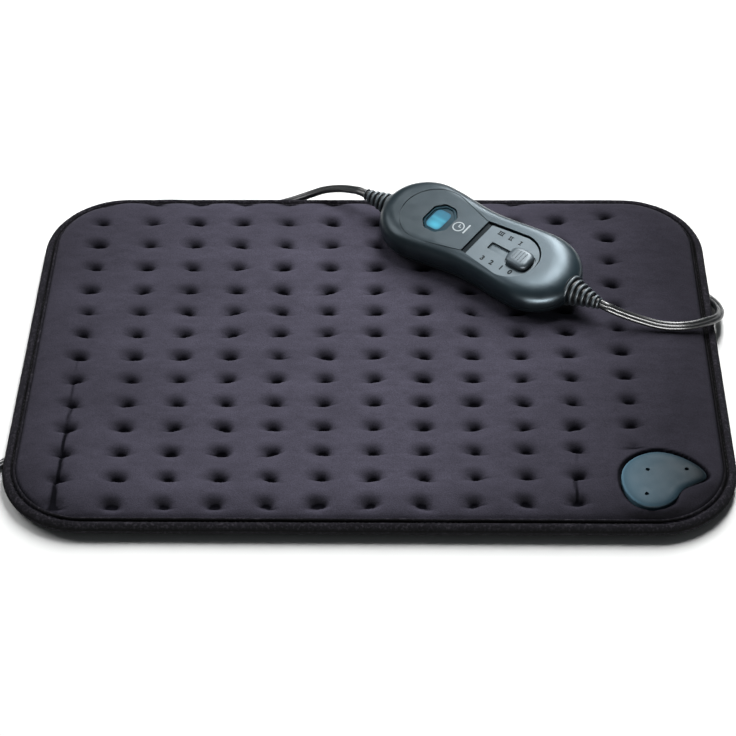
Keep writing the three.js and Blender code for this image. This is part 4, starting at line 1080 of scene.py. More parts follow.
def tuft_dip(x, y, tuft_x, tuft_y, row, column):
    """How far one tuft and its crease draw the cover down at a point, and how much painted shade falls
    there.
    """
    odd = waviness(tuft_x, tuft_y, tuft_wave)
    seed = Vector((tuft_x / tuft_wave[0], tuft_y / tuft_wave[1], tuft_wave[2]))
    dx = x - tuft_x
    dy = y - tuft_y
    size = 1 + size_spread_share * odd
    if row == rows_before_box and column == last_column:
        size = last_front_tuft_share
    lean = tilt_share * noise.noise(seed * tilt_scale) * dx
    notch = notch_reach * waviness(x, y, (notch_pitch, notch_pitch, odd * notch_slices))
    half = core_behind if dy > 0 else core_before
    dip = drawn_in(dx, dy, *dip_reach)
    core = drawn_in(dx - core_aside + notch, dy - lean + notch / 2, core_width * size, half * size)
    pinch = drawn_in(dx + pinch_aside * odd, dy - lean + pinch_before, *pinch_reach)
    # Painted shade in a soft patch behind the core
    painted_halo = painted_halo_share * size * drawn_in(dx + painted_halo_left, dy - painted_halo_behind, *painted_halo_reach)
    sink = dip_depth * size * dip + core_depth * size * core + pinch_depth * size * pinch
    mark = max(size * core, pinch_mark_share * pinch, painted_halo)
    depths = crease_depths.get(column, ())
    if row < len(depths) and 0 < dy < tuft_row_pitch:
        depth = depths[row]
        width = crease_width
        if row == 0 and column == 0:
            width += corner_crease_spread * max(1 - dy / corner_crease_reach, 0)
        bend = crease_bend * waviness(dy, tuft_y, (crease_bend_pitch, 1, crease_bend_slice)) - crease_left
        line = ridge(dx - bend, width)
        sink += depth * line + fold_share * depth * ridge(dx - bend, fold_width)
        mark = max(mark, crease_mark_share * line * min(depth, crease_mark_depth))
    if row == 0 and column == 0 and -corner_fold_length < dy < 0:
        line = ridge(dx + corner_fold_slope * dy, corner_fold_width)
        sink += corner_fold_depth * line
        mark = max(mark, corner_fold_mark_share * line)
    return sink, mark


# Cover beside the corner box: it swells round the box and falls into the gap along it, with painted shade in
# the gap
box_side_reach = 40
box_back_reach = 36
swell_reach = 7
swell_height = 14.7
swell_edge = 7.9
swell_edge_reach = 2.2
swell_power = 0.3
swell_width = 4.5
gap_floor = 10.6
gap_width = 1.9
gap_start = 0.1
gap_power = 0.45
gap_mark_power = 1.5
covered_start = 3
covered_slope = 0.45
covered_reach = 6
covered_back = 2
covered_back_reach = 5
covered_shift = 1.4
covered_narrower = 0.5


def beside_box(x, y, edge, height, box_shape):
    beside = outline_distance(box_shape, x, y)
    if beside >= swell_reach:
        return height, 0
    swollen = swell_height * within_one((edge - swell_edge) / swell_edge_reach) ** swell_power
    height += max(swollen - height, 0) * ridge(max(beside, 0), swell_width)
    nearing = within_one((x - box_x + covered_slope * (y - box_y) + covered_start) / covered_reach)
    covered = nearing * within_one((box_y + covered_back - y) / covered_back_reach)
    width = gap_width - covered_narrower * covered
    fall = within_one((beside - gap_start + covered_shift * covered) / width)
    height = gap_floor + (height - gap_floor) * math.sin(fall ** gap_power * math.pi / 2)
    # Painted shade in the gap
    return height, 1 - fall ** gap_mark_power


# Lowest that a tuft draws the cover, and the painted shade along the binding
tuft_floor = 10.3
shaded_edge = 9.4
shaded_reach = 1.6
shaded_share = 0.8
shaded_front_share = 0.55
front_edge_start = 20
front_edge_reach = 8


def plush_surface(x, y, near_tufts, box_shape):
    """Height of the plush and how much painted shade it has in a tuft, crease or gap, or along the binding.
    """
    edge = edge_distance(x, y)
    height = crown_height(x, y, edge)
    sink = 0.0
    mark = 0.0
    for tuft in near_tufts:
        depth, darkness = tuft_dip(x, y, *tuft)
        sink += depth
        mark = max(mark, darkness)
    height -= min(sink, max(height - tuft_floor, 0))
    if edge < shaded_edge:
        front_share = within_one((front_edge_start - back_edge - y) / front_edge_reach)
        shaded = shaded_share - shaded_front_share * front_share
        mark = max(mark, min((shaded_edge - edge) / shaded_reach, 1) * shaded)
    if x > box_x - box_side_reach and y < box_y + box_back_reach:
        height, darkness = beside_box(x, y, edge, height, box_shape)
        mark = max(mark, darkness)
    return height, mark


# Painted light and shade: the plush colour is lighter in the pad's middle and darker towards its sides, its
# back, its right side and its front right corner, with a random unevenness
painted_light_middle_share = 1.02
painted_light_side_share = 0.68
painted_light_right_shares = (0.16, 0.2)
painted_light_back_share = 0.16
painted_light_corner_share = 0.4
painted_light_least_share = 0.12
painted_light_uneven_share = 0.12


def painted_light_falloff(x, y):
    across = x / side_edge
    along = y / back_edge
    right = max(across, 0)
    painted_level = painted_light_middle_share - painted_light_side_share * across ** 2
    painted_level -= painted_light_right_shares[0] * right + painted_light_right_shares[1] * right ** 2
    painted_level -= painted_light_back_share * max(along, 0) + painted_light_corner_share * right * max(-along, 0)
    return max(painted_level, painted_light_least_share) + painted_light_uneven_share * waviness(x, y, painted_light_wave)


# Covers
cover_margin = 4.6
cover_inner_edge = 11.6
cover_inner_steps = 8
cover_inner_pitch = 20


def height_field(name, pitch, surface, edge_level, inner_level):
    """Square cells over the pad, shaped by a height at each point and closed by a stepped floor."""
    columns = round((pad_width - 2 * cover_margin) / pitch)
    rows = round((pad_depth - 2 * cover_margin) / pitch)
    deselect()
    bpy.ops.mesh.primitive_grid_add(x_subdivisions=columns, y_subdivisions=rows, size=2)
    piece = named(name)
    mesh = bmesh.new()
    mesh.from_mesh(piece.data)
    # Painted shade in tufts, creases, the gap beside the corner box and along the binding
    layer = mesh.verts.layers.float.new("tuft")
    # Painted light and shade across the pad
    painted_light_layer = mesh.verts.layers.float.new("painted_light")
    outside = []
    for vertex in mesh.verts:
        x = vertex.co.x * (side_edge - cover_margin)
        y = vertex.co.y * (back_edge - cover_margin)
        if edge_distance(x, y) < cover_margin:
            outside.append(vertex)
            continue
        height, mark = surface(x, y)
        vertex.co = Vector((x, y, height)) * mm
        vertex[layer] = mark
        vertex[painted_light_layer] = painted_light_falloff(x, y)
    bmesh.ops.delete(mesh, geom=outside, context="VERTS")
    rim = [edge for edge in mesh.edges if edge.is_boundary]
    grown = bmesh.ops.extrude_edge_only(mesh, edges=rim)["geom"]
    for vertex in grown:
        if isinstance(vertex, bmesh.types.BMVert):
            vertex.co.z = edge_level * mm
    floor_edges = [edge for edge in grown if isinstance(edge, bmesh.types.BMEdge) and edge.is_boundary]
    inner = pad_outline(cover_inner_edge, cover_inner_steps, cover_inner_pitch)
    ring = [mesh.verts.new(Vector((x, y, edge_level)) * mm) for x, y in inner]
    ring_edges = [mesh.edges.new((ring[k - 1], ring[k])) for k in range(len(ring))]
    bmesh.ops.bridge_loops(mesh, edges=floor_edges + ring_edges)
    roof = [mesh.verts.new(Vector((x, y, inner_level)) * mm) for x, y in inner]
    for k in range(len(ring)):
        mesh.faces.new((ring[k - 1], ring[k], roof[k], roof[k - 1]))
    mesh.faces.new(roof)
    bmesh.ops.recalc_face_normals(mesh, faces=mesh.faces)
    mesh.to_mesh(piece.data)
    mesh.free()
    for face in piece.data.polygons:
        face.use_smooth = True
    return piece


top_pitch = 1.35
top_edge_level = 8.6
top_inner_level = 9.7
tuft_reach = 22


def make_top_cover():
    hem_row = [(x, hem_row_y, tuft_rows, column) for x, y, row, column in tufts if row == tuft_rows - 1]
    places = tufts + [tuft for tuft in hem_row if tuft[3] < last_column - 1]
    tree = kdtree.KDTree(len(places))
    for k, (x, y, row, column) in enumerate(places):
        tree.insert((x, y, 0), k)
    tree.balance()
    box_shape = drop_outline()

    def surface(x, y):
        near = [places[k] for spot, k, distance in tree.find_range((x, y, 0), tuft_reach)]
        return plush_surface(x, y, near, box_shape)

    piece = height_field("plush_cover", top_pitch, surface, top_edge_level, top_inner_level)
    dress(piece, plush, stands_for=["pad_top_cover"])


bottom_pitch = 2.2
bottom_edge_level = 7.9
bottom_inner_level = 6.0
bottom_rise = 5.6
bottom_reach = 27
bottom_power = 0.7
bottom_uneven = 0.12
channel_half_width = 8
channel_height = 5.4
channel_fullness = 1.35
channel_reach = 9
buried_height = 8
base_side_reach = 32
base_back_reach = 30
base_share = 0.93
base_gap = 0.9
base_level = 5.5


def make_bottom_cover():
    leads = [*pad_lead_path, *mains_path]
    tree = kdtree.KDTree(len(leads))
    for k, point in enumerate(leads):
        tree.insert((point.x, point.y, 0), k)
    tree.balance()
    base_shape = drop_outline(base_share)

    def surface(x, y):
        share = within_one((edge_distance(x, y) - cover_edge) / bottom_reach)
        height = bottom_rise * (1 - math.sin(share ** bottom_power * math.pi / 2))
        height += bottom_uneven * abs(waviness(x, y, backing_wave))
        spot, k, distance = tree.find((x, y, 0))
        if leads[k].z < buried_height and distance < channel_reach:
            arch = math.sqrt(max(1 - (distance / channel_half_width) ** 2, 0))
            height = max(height, channel_height * min(arch * channel_fullness, 1))
        near_base = x > box_x - base_side_reach and y < box_y + base_back_reach
        if near_base and outline_distance(base_shape, x, y) < base_gap:
            height = base_level
        return height, 0.0

    piece = height_field("backing_cover", bottom_pitch, surface, bottom_edge_level, bottom_inner_level)
    dress(piece, backing, stands_for=["pad_bottom_cover"])


make_top_cover()
make_bottom_cover()


# Binding, a folded tape with a sewn ridge beside the plush: distance from the outer edge and height
tape_profile = [
    (8.4, 8.6), (8.0, 9.5), (7.6, 10.2), (7.1, 10.4), (6.6, 10.2), (6.2, 9.4), (5.6, 8.8), (5.0, 9.3),
    (4.4, 10.0), (3.6, 10.2), (2.7, 10.0), (1.8, 9.5), (1.0, 8.6), (0.4, 7.4), (0.3, 6.2), (0.7, 5.0),
    (1.5, 4.1), (2.8, 3.6), (5.0, 3.5), (8.0, 3.7), (8.1, 4.9), (3.2, 5.2), (2.0, 6.4), (2.1, 7.9),
    (3.2, 8.6),
]
tape_corner_steps = 26
tape_step = 3.2
tape_wave_pitch = 16
tape_wave_edge = 9
tape_wave_rise = 0.3
tape_ripple_pitch = 5
tape_ripple_rise = 0.12
tape_drop = 0.15
tape_seam = 5.6
seam_half_width = 0.8
rim_half_width = 1.1
plush_seam = 8.5
plush_seam_half_width = 0.7
plush_seam_front_share = 0.7
front_band_start = 16
front_band_reach = 8
front_band_half_width = 1.2
front_band_fullness = 1.3
valley_start = 4.4
valley_reach = 0.8
valley_share = 0.96
ridge_edge = 7.1
ridge_half_width = 0.6
ridge_share = 0.3
valley_side_start = 16
valley_side_reach = 8
shaded_tape_height = 6.5


def tape_shade(edge, x, y):
    """How much painted shade the tape gets in its seams and, beside the plush, along its front and in a
    valley on its right.
    """
    front_share = within_one((front_band_start - back_edge - y) / front_band_reach)
    painted_tape_shade = ridge(edge - tape_seam, seam_half_width) + ridge(edge, rim_half_width)
    painted_tape_shade += (1 - plush_seam_front_share * front_share) * ridge(edge - plush_seam, plush_seam_half_width)
    valley = within_one((edge - valley_start) / valley_reach)
    valley *= valley_share - ridge_share * ridge(edge - ridge_edge, ridge_half_width)
    valley *= within_one((x - side_edge + valley_side_start) / valley_side_reach)
    band = min(front_band_fullness * ridge(edge - tape_seam, front_band_half_width), 1) * front_share
    return max(painted_tape_shade, valley, band)


def make_binding():
    mesh = bmesh.new()
    # Painted shade in the tape's seams, front band and right valley
    layer = mesh.verts.layers.float.new("painted_tape_shade")
    rings = []
    for edge, height in tape_profile:
        ring = []
        for x, y in pad_outline(edge, tape_corner_steps, tape_step):
            wave = waviness(x, y, (tape_wave_pitch, tape_wave_pitch, edge / tape_wave_edge))
            ripple = waviness(x, y, (tape_ripple_pitch, tape_ripple_pitch, edge / tape_ripple_pitch))
            level = height + tape_wave_rise * wave + tape_ripple_rise * ripple - tape_drop
            point = mesh.verts.new(Vector((x, y, level)) * mm)
            point[layer] = tape_shade(edge, x, y) if height > shaded_tape_height else 0.0
            ring.append(point)
        rings.append(ring)
    for k, ring in enumerate(rings):
        inner = rings[k - 1]
        for i in range(len(ring)):
            mesh.faces.new((inner[i - 1], inner[i], ring[i], ring[i - 1]))
    bmesh.ops.recalc_face_normals(mesh, faces=mesh.faces)
    piece = piece_from(mesh, "binding_tape", angle=60)
    dress(piece, tape, stands_for=["edge_binding"])


stitch_height = 8.5
stitch_corner_steps = 40
stitch_step = 1.0
stitch_pitch = 3.1
stitch_size = Vector((1.15, 0.28, 0.24))


def make_stitches():
    """A row of sewing stitches in the groove of the binding."""
    line = pad_outline(tape_seam, stitch_corner_steps, stitch_step)
    spots = [Vector((x, y, stitch_height)) for x, y in line]
    mesh = bmesh.new()
    travelled = 0.0
    for a, b in zip(spots, spots[1:] + spots[:1]):
        travelled += (b - a).length
        if travelled < stitch_pitch:
            continue
        travelled -= stitch_pitch
        turn = math.atan2(b.y - a.y, b.x - a.x)
        place = shift(*b) @ Matrix.Rotation(turn, 4, "Z") @ Matrix.Diagonal((*stitch_size * mm, 1))
        bmesh.ops.create_uvsphere(mesh, u_segments=6, v_segments=4, radius=1, matrix=place)
    piece = piece_from(mesh, "binding_stitches", angle=80)
    dress(piece, thread)


make_binding()
make_stitches()


# Corner box
box_wall_low = 11.2
box_wall = 3.1
box_rise = 2.1
box_flat_shares = (0.6, 0.6)
box_fullness = 2.3
box_visible_share = 0.97
box_pin_shares = ((-0.36, 0.27), (0.53, 0.29), (-0.44, -0.58))
pit_radius = 1.15
pit_floor = 14.4
pit_top = 20
sunk_pin_level = 14.2
sunk_pin_profile = [(0, -2.2), (0.7, -2.2), (0.7, 0.3), (0.4, 0.6), (0, 0.7)]


def make_box_cover():
    piece = domed(
        "box_shell", drop_outline(box_visible_share), box_wall_low, box_wall, box_rise,
        (box_x, box_y), box_flat_shares, box_fullness,
    )
    for k, (x, y) in enumerate(box_pin_shares):
        spot = (box_x + x * box_length / 2, box_y + y * box_depth / 2)
        carve(piece, plate("pit", round_outline(*spot, pit_radius), pit_floor, pit_top))
        pin = turned(f"sunk_pin_{k + 1}", sunk_pin_profile, 16)
        put(pin, shift(*spot, sunk_pin_level), dark_plastic_and_shade, stands_for=[f"box_pin_{k + 1}"])
    smooth(piece)
    dress(piece, box_shell, stands_for=["corner_box_cover"])


make_box_cover()


# Controller casing
def casing_half_width(share, lobe):
    return waist_half_width + (lobe - waist_half_width) * (1 + math.cos(share * math.pi)) / 2


def casing_outline(end_steps=44, waist_steps=24):
    outline = []
    for k in range(end_steps + 1):
        turn = (k / end_steps - 0.5) * math.pi
        outline.append((cord_end_x + cord_end_radius * math.cos(turn), cord_end_radius * math.sin(turn)))
    waist = []
    for k in range(1, 2 * waist_steps):
        share = k / waist_steps
        near = share <= 1
        x = cord_end_x + (display_end_x - cord_end_x) * share / 2
        lobe = cord_end_radius if near else display_end_radius
        waist.append((x, casing_half_width(share if near else 2 - share, lobe)))
    outline += waist
    for k in range(end_steps + 1):
        turn = (k / end_steps + 0.5) * math.pi
        x = display_end_x + display_end_radius * math.cos(turn)
        outline.append((x, display_end_radius * math.sin(turn)))
    outline += [(x, -y) for x, y in waist[::-1]]
    return outline


shell_lip = 1.0
shell_wall = 2
crown_middle = -22
crown_flat_shares = (0.79, 0.66)
crown_fullness = 2.35
belly_flat_shares = (0.75, 0.38)
belly_fullness = 2.0
joint_gap = 0.15
bore_radius = 4.3
bore_half_length = 8


def hollow_out(piece):
    edit(piece)
    select_faces(piece, lambda face: face.normal.z < -level_share and abs(face.center.z) < touching * mm)
    bpy.ops.mesh.delete(type="FACE")
    deselect()
    apply_modifier(piece, "SOLIDIFY", thickness=shell_wall * mm, offset=-1, use_even_offset=False)


def bore_ends(piece):
    """Opens both ends of a casing half for the strain reliefs."""
    profile = [(0, -bore_half_length), (bore_radius, -bore_half_length), (bore_radius, bore_half_length)]
    for x in (cord_end, display_end):
        bore = turned("bore", [*profile, (0, bore_half_length)], 32)
        settle(bore, shift(x, 0, parting_height) @ rotation(90, "Y"))
        carve(piece, bore)


def finish_shell(piece, place, material, node):
    settle(piece, place)
    smooth(piece)
    weigh_normals(piece)
    dress(piece, material, stands_for=[node])


face_recess = 0.8
recess_gap = 0.7
recess_aside = 0.45
panel_top = casing_height - face_recess
panel_start = 2.6
panel_length = 40.6
panel_half_width = 16.6
panel_nose = 17
panel_start_share = 0.8
bar_width = 3
bar_start = panel_start - bar_width
plate_radius = 21.5
plate_x = -30.5
window_x = -26.4
window_width = 17
window_length = 21.5
window_chamfer = 5
window_corner = 1.6


def nose_outline(start, margin, steps=40):
    nose_x = panel_start + panel_length - panel_nose
    half = panel_half_width + margin
    outline = []
    for k in range(-steps, steps + 1):
        turn = k / steps * math.pi / 2
        outline.append((nose_x + (panel_nose + margin) * math.cos(turn), half * math.sin(turn)))
    outline += [(start - margin, half * panel_start_share), (start - margin, -half * panel_start_share)]
    return outline


def window_outline(margin, steps=4):
    x = window_width / 2 + margin
    y = window_length / 2 + margin
    c = window_chamfer
    corners = [
        (x, c - y), (x, y - c), (x - c, y), (c - x, y), (-x, y - c), (-x, c - y), (c - x, -y), (x - c, -y),
    ]
    outline = []
    for k, point in enumerate(corners):
        here = Vector(point)
        before = here + (Vector(corners[k - 1]) - here).normalized() * window_corner
        after = here + (Vector(corners[(k + 1) % len(corners)]) - here).normalized() * window_corner
        for i in range(steps + 1):
            share = i / steps
            spot = before.lerp(here, share).lerp(here.lerp(after, share), share)
            outline.append((window_x + spot.x, spot.y))
    return outline


def plate_outline(steps=60):
    end_x = bar_start + bar_width / 2
    end_y = panel_half_width * panel_start_share
    reach = math.hypot(end_x - plate_x, end_y)
    spread = math.acos(plate_radius / reach) + math.atan2(end_y, end_x - plate_x)
    outline = []
    for k in range(steps + 1):
        turn = spread + k / steps * (math.tau - 2 * spread)
        outline.append((plate_x + plate_radius * math.cos(turn), plate_radius * math.sin(turn)))
    return outline + [(end_x, -end_y), (end_x, end_y)]


# Casing halves, with their cutters' lowest and highest levels
cutter_low = 15
cutter_high = 25
opening_start = bar_start + 0.5
window_gap = 0.3
groove_depth = 0.35
groove_width = 0.55
boss_shift = 3.5
boss_aside = 16
boss_radius = 3.5
boss_low = 1.0
boss_high = 9.6
screw_radius = 1.6
screw_head_radius = 2.8
screw_head_depth = 3.4
hole_low = -3
hole_high = 12


def carve_face(piece, cutter):
    """Cuts into the casing from the face's own frame."""
    settle(cutter, face_on_casing)
    carve(piece, cutter)


def make_upper_casing():
    rise = casing_height - parting_height - shell_lip
    middle = (crown_middle, 0)
    outline = casing_outline()
    piece = domed("upper_shell", outline, 0, shell_lip, rise, middle, crown_flat_shares, crown_fullness)
    hollow_out(piece)
    settle(piece, shift(0, 0, parting_height + joint_gap))
    recess = [(x, y + recess_aside) for x, y in nose_outline(opening_start, recess_gap)]
    carve_face(piece, plate("opening", recess, cutter_low, cutter_high))
    carve_face(piece, plate("opening", window_outline(window_gap), cutter_low, cutter_high))
    groove = plate("groove", plate_outline(), casing_height - groove_depth, cutter_high)
    carve(groove, plate("groove_middle", wider(plate_outline(), -groove_width), cutter_low, cutter_high + 1))
    carve_face(piece, groove)
    bore_ends(piece)
    finish_shell(piece, controller_place, casing, "upper_casing")


def make_lower_casing():
    rise = parting_height - shell_lip
    outline = casing_outline()
    piece = domed("lower_shell", outline, 0, shell_lip, rise, (0, 0), belly_flat_shares, belly_fullness)
    hollow_out(piece)
    settle(piece, shift(0, 0, parting_height - joint_gap) @ rotation(180, "X"))
    for x in (display_end_x, cord_end_x + boss_shift):
        for y in (-boss_aside, boss_aside):
            carve(piece, plate("boss", round_outline(x, y, boss_radius), boss_low, boss_high), "UNION")
            carve(piece, plate("hole", round_outline(x, y, screw_radius), hole_low, hole_high))
            carve(piece, plate("hole", round_outline(x, y, screw_head_radius), hole_low, screw_head_depth))
    bore_ends(piece)
    finish_shell(piece, controller_place, casing, "lower_casing")


make_upper_casing()
make_lower_casing()


# Face of the controller
slot_start = 10.7
slot_end = 35.1
slot_width = 5.6
slot_corner = 0.6
panel_floor = 19.0
panel_edge = 0.25
seat_inset = -0.8
seat_shift = Vector((0.5, -0.7))
seat_depth = 0.75
bar_sunk = 0.25
bar_gap = 0.1
bar_edge = 0.2
shutter_length = 44.8
shutter_width = 9
shutter_floor = 17.3
shutter_gap = 0.15
shutter_corner = 0.5
shutter_edge = 0.1
off_x = 33


def make_panel():
    piece = plate("switch_panel", nose_outline(panel_start, 0), panel_floor, panel_top, panel_edge)
    middle = (slot_start + slot_end) / 2
    slot = box_outline(middle, 0, slot_end - slot_start, slot_width, slot_corner)
    carve(piece, plate("slot", slot, cutter_low, cutter_high))
    seat = [(x + seat_shift.x, y + seat_shift.y) for x, y in knob_outline(seat_inset)]
    carve(piece, plate("knob_seat", seat, panel_top - seat_depth, cutter_high))
    finish_shell(piece, face_place, panel, "control_panel")
    half = panel_half_width * panel_start_share
    bar_end = panel_start - bar_gap
    outline = [(bar_start, -half), (bar_end, -half), (bar_end, half), (bar_start, half)]
    # Painted shade: a dark plate sunk only slightly below the panel stands in for a shadowed slot
    bar = plate("panel_bar", outline, panel_floor, panel_top - bar_sunk, bar_edge)
    put(bar, face_place, dark_plastic_and_shade)
    middle = slot_start - lead_gap + shutter_length / 2
    blind = box_outline(middle, 0, shutter_length, shutter_width, shutter_corner)
    shutter = plate("slot_shutter", blind, shutter_floor, panel_floor - shutter_gap, shutter_edge)
    put(shutter, face_place, panel, selector_body)


# Display: its rim, its glass, and the light that is brightest in a pool at its near end
rim_floor = 17.6
rim_proud = 0.1
rim_edge = 0.35
rim_wall = 1.1
rim_opening_floor = 19.6
glass_floor = 19.0
glass_top = 19.75
glass_gap = 0.05
glass_edge = 0.15
lit_width = 10.6
lit_length = 15
lit_columns = 26
lit_rows = 34
lit_squareness = 4.5
lit_shift = -0.9
lit_aside = -0.7
lit_level = 19.8
glow_share = 0.26
pool_place = (0.8, -4.4)
pool_reach = (4.6, 3.6)
pool_share = 0.72
streak_place = 0.6
streak_reach = 1.3
streak_share = 0.3
dark_rim_share = 0.75
dark_rim_power = 9


def make_display():
    rim = plate("display_rim", window_outline(0), rim_floor, panel_top + rim_proud, rim_edge)
    carve(rim, plate("opening", window_outline(-rim_wall), rim_opening_floor, cutter_high))
    put(rim, face_place, lens)
    glass = plate("display_glass", window_outline(-rim_wall - glass_gap), glass_floor, glass_top, glass_edge)
    put(glass, face_place, lens, stands_for=["display_lens"])
    deselect()
    bpy.ops.mesh.primitive_grid_add(x_subdivisions=lit_columns, y_subdivisions=lit_rows, size=2)
    lit = named("display_light")
    layer = lit.data.attributes.new("glow", "FLOAT", "POINT")
    for vertex in lit.data.vertices:
        a = vertex.co.x
        b = vertex.co.y
        reach = max(abs(a), abs(b))
        rounded = (abs(a) ** lit_squareness + abs(b) ** lit_squareness) ** (1 / lit_squareness)
        round_off = reach / max(rounded, 1e-6)
        u = a * round_off * lit_width / 2
        v = b * round_off * lit_length / 2
        vertex.co = Vector((window_x + lit_shift + u, lit_aside + v, lit_level)) * mm
        pool = pool_share * drawn_in(u - pool_place[0], v - pool_place[1], *pool_reach)
        streak = streak_share * ridge(v - streak_place, streak_reach)
        fading = 1 - dark_rim_share * reach ** dark_rim_power
        layer.data[vertex.index].value = min((glow_share + pool + streak) * fading, 1)
    settle(lit, face_place)
    dress(lit, lit_display)


# Knob, a squarish cap with finger grooves, on a stem
knob_length = 15.5
knob_width = 13.5
knob_gap = 0.3
knob_wall = 1.0
knob_rise = 2.5
knob_flat_shares = (0.45, 0.4)
knob_fullness = 2.6
groove_count = 4
groove_pitch = 2.1
finger_width = 0.9
finger_length = 8.6
finger_shortening = 0.8
finger_corner = 0.42
finger_floor = 3.27
finger_top = 30
stem_length = 3.6
stem_width = 5
stem_corner = 0.4
stem_floor = 14.9
stem_top = 1.5


def knob_outline(inset, steps=72, squareness=0.62):
    outline = []
    for k in range(steps):
        turn = math.tau * k / steps
        x = math.copysign(abs(math.cos(turn)) ** squareness, math.cos(turn)) * (knob_length / 2 - inset)
        y = math.copysign(abs(math.sin(turn)) ** squareness, math.sin(turn)) * (knob_width / 2 - inset)
        outline.append((off_x + x, y))
    return outline


def make_knob():
    low = panel_top + knob_gap
    piece = domed(
        "selector_cap", knob_outline(0), low, knob_wall, knob_rise,
        (off_x, 0), knob_flat_shares, knob_fullness,
    )
    for k in range(groove_count):
        aside = k - (groove_count - 1) / 2
        length = finger_length - abs(aside) * finger_shortening
        groove = box_outline(off_x + aside * groove_pitch, 0, finger_width, length, finger_corner)
        carve(piece, plate("finger_groove", groove, low + finger_floor, finger_top))
    stem = box_outline(off_x, 0, stem_length, stem_width, stem_corner)
    carve(piece, plate("stem", stem, stem_floor, low + stem_top), "UNION")
    put(piece, face_place, knob_shell, selector_body, ["selector_knob"])


# Printed marks, their middles in the face's frame
print_gap = 0.01
print_thickness = 0.03
digit_size = 4.6
digit_y = -10.7
digit_places = (("3", 13.4), ("2", 19.9), ("1", 27.0), ("0", 33.4))
digit_thickness = 0.02
digit_boldness = 0.22
level_y = 10.8
level_places = ((3, 11.2), (2, 18.2), (1, 25.3))
stroke_width = 0.72
stroke_length = 2.5
stroke_pitch = 1.25
serif_width = 0.6
serif_growth = 1.15
serif_start = 0.5
mark_corner = 0.05
clock_x = -12.9
clock_y = 0.6
clock_radius = 3.7
clock_line = 0.7
clock_level = 0.14
clock_thickness = 0.04
hand_width = 0.6
hand_length = 2.2
hand_rise = 0.9
short_hand_length = 1.6
short_hand_shift = 0.7
hand_corner = 0.1
clock_bar = (-7.6, 1.5, 1.0, 7.6)
clock_bar_corner = 0.3


def printed(name, parts, material, level):
    """Joins flat marks in the face's frame into one printed piece."""
    take(parts[0])
    for part in parts:
        part.select_set(True)
    if len(parts) > 1:
        bpy.ops.object.join()
    piece = named(name)
    settle(piece, face_place @ shift(0, 0, level))
    dress(piece, material)


def numeral(text, u, v):
    deselect()
    bpy.ops.object.text_add()
    mark = bpy.context.object
    mark.data.body = text
    mark.data.size = digit_size * mm
    mark.data.align_x = "CENTER"
    mark.data.align_y = "CENTER"
    mark.data.extrude = digit_thickness * mm
    mark.data.offset = digit_boldness * mm
    bpy.ops.object.convert(target="MESH")
    mark = bpy.context.object
    settle(mark, shift(u, v, 0))
    return mark


def stroke(x, y, length, width, corner=mark_corner, steps=1, thickness=print_thickness):
    return plate("mark", box_outline(x, y, length, width, corner, steps), 0, thickness)


def roman(count, u, v):
    """Upright strokes between two short bars."""
    width = serif_growth * count + serif_start
    parts = [stroke(u, v + side * stroke_length / 2, width, serif_width) for side in (-1, 1)]
    for k in range(count):
        parts.append(stroke(u + (k - (count - 1) / 2) * stroke_pitch, v, stroke_width, stroke_length))
    return parts


def make_marks():
    digits = [numeral(text, u, digit_y) for text, u in digit_places]
    printed("position_numbers", digits, dark_print, panel_top + print_gap)
    strokes = []
    for count, u in level_places:
        strokes += roman(count, u, level_y)
    printed("level_marks", strokes, dark_print, panel_top + print_gap)
    ring = plate("mark", round_outline(clock_x, clock_y, clock_radius, 40), 0, clock_thickness)
    carve(ring, plate("middle", round_outline(clock_x, clock_y, clock_radius - clock_line, 40), -1, 1))
    hand = stroke(clock_x, clock_y + hand_rise, hand_width, hand_length, hand_corner, 1, clock_thickness)
    short_x = clock_x + short_hand_shift
    short_hand = stroke(short_x, clock_y, short_hand_length, hand_width, hand_corner, 1, clock_thickness)
    bar = stroke(*clock_bar, clock_bar_corner, 3, clock_thickness)
    printed("clock_mark", [ring, hand, short_hand, bar], light_print, casing_height + clock_level)


make_panel()
make_display()
make_knob()
make_marks()


# Ribbed strain reliefs, each a tapering row of rings with deep gaps, with painted shade in the gaps and on
# the neck at the root
relief_tip = 3.6
relief_tip_length = 0.6
relief_tip_edge = 0.45
relief_tip_step = 0.3
relief_seat = -6.5
relief_neck = 3.6
ring_depth = 2.3
least_core = 2.7
ring_taper = 0.85
ring_middle_share = 0.3
neck_edge = (0.4, 0.3)
neck_shade = 0.8
# Share of the pitch, how far inside the ring's outer radius, and how much painted shade
ring_rows = [(0.02, 0.5, 0.3), (0.09, 0.1, 0), (0.2, 0, 0), (0.36, 0.06, 0), (0.47, 0.4, 0.3)]
gap_row_shares = [(0.52, 1), (0.97, 1)]


def relief_profile(root, start, rings):
    """Points of (radius, height, painted shade)."""
    end = relief_length - relief_tip_length
    pitch = (end - start) / rings
    profile = [
        (0, relief_seat, 0), (root - relief_neck, relief_seat, neck_shade),
        (root - neck_edge[0], start - neck_edge[1], neck_shade),
    ]
    for k in range(rings):
        low = start + k * pitch
        outer = root + (relief_tip - root) * ((k + ring_middle_share) / rings) ** ring_taper
        core = max(outer - ring_depth, least_core)
        profile += [(outer - inside, low + pitch * share, depth) for share, inside, depth in ring_rows]
        profile += [(core, low + pitch * share, depth) for share, depth in gap_row_shares]
    inner = relief_tip - relief_tip_step
    profile += [(inner, end, 0), (relief_tip, relief_length - relief_tip_edge, 0)]
    return profile + [(inner, relief_length, 0), (0, relief_length, 0)]


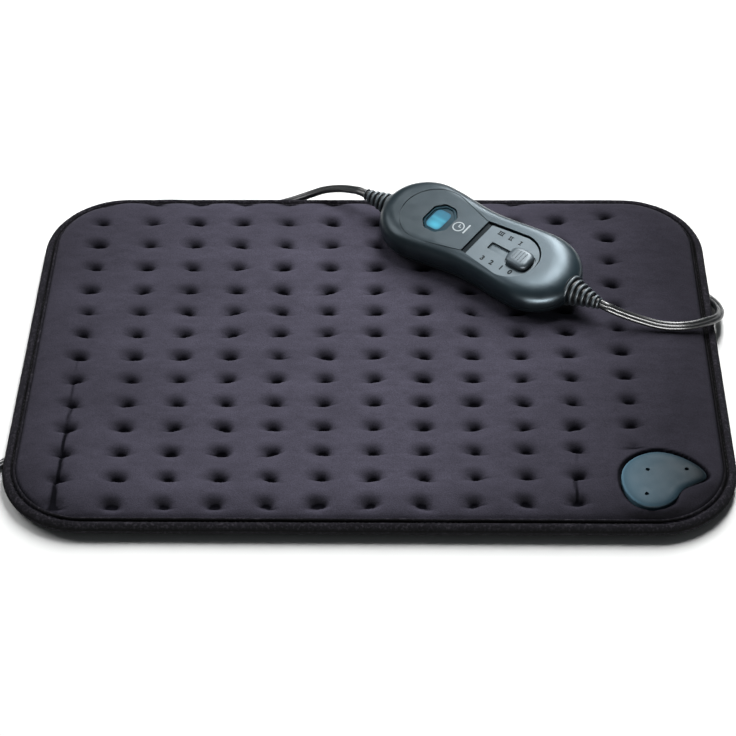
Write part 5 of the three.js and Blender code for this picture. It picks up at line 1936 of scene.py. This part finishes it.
def make_relief(name, root, start, rings, x, facing, node):
    profile = relief_profile(root, start, rings)
    piece = turned(name, [(radius, height) for radius, height, depth in profile], 48)
    # Painted shade from the profile's third column
    layer = piece.data.attributes.new("gap", "FLOAT", "POINT")
    for vertex in piece.data.vertices:
        radius = math.hypot(vertex.co.x, vertex.co.y) / mm
        height = vertex.co.z / mm
        nearest = min(profile, key=lambda point: math.hypot(point[0] - radius, point[1] - height))
        layer.data[vertex.index].value = nearest[2]
    place = controller_place @ shift(x, 0, parting_height) @ rotation(facing * 90, "Y")
    put(piece, place, rubber, stands_for=[node], angle=35)


pad_side_root = 9.8
pad_side_start = -3.0
mains_side_root = 7.9
mains_side_start = -2.2
make_relief("pad_side_relief", pad_side_root, pad_side_start, 6, cord_end, 1, "pad_relief")
make_relief("mains_side_relief", mains_side_root, mains_side_start, 5, display_end, -1, "mains_relief")


# Floor, lights and surroundings
# A softbox's name, place, aim, width and depth in metres, its watts, and whether it lights matt surfaces
floor_size = 9
sky_colour = (0.9, 0.97, 1, 1)
sky_strength = 0.07
softboxes = (
    ("back_softbox", (0.27, 0.84, 1.24), (0.06, -0.04, 0), 0.42, 1.45, 48.5, True),
    ("left_softbox", (-0.85, 0.35, 0.95), (-0.06, -0.02, 0), 0.8, 0.6, 8, True),
    ("front_reflector", (0.2, -1.2, 0.13), (0.1, 0, 0.03), 1.1, 0.22, 36, False),
)


def make_floor():
    deselect()
    bpy.ops.mesh.primitive_plane_add(size=floor_size)
    floor = bpy.context.object
    floor.name = "floor"
    finish = Finish("floor", (0.7, 0.705, 0.7), 1.0, Specular_IOR_Level=0.0)
    floor.data.materials.append(finish.material)


def softbox(name, place, target, width, depth, watts, lights_surfaces):
    data = bpy.data.lights.new(name, "AREA")
    data.shape = "RECTANGLE"
    data.size = width
    data.size_y = depth
    data.energy = watts
    light = bpy.data.objects.new(name, data)
    bpy.context.scene.collection.objects.link(light)
    light.location = place
    light.rotation_mode = "QUATERNION"
    light.rotation_quaternion = (Vector(target) - Vector(place)).to_track_quat("-Z", "Y")
    light.visible_diffuse = lights_surfaces


def make_light():
    world = bpy.data.worlds.new("studio")
    bpy.context.scene.world = world
    world.use_nodes = True
    background = world.node_tree.nodes["Background"]
    background.inputs["Color"].default_value = sky_colour
    background.inputs["Strength"].default_value = sky_strength
    for row in softboxes:
        softbox(*row)
    bpy.context.scene.view_settings.view_transform = "Standard"


make_floor()
make_light()
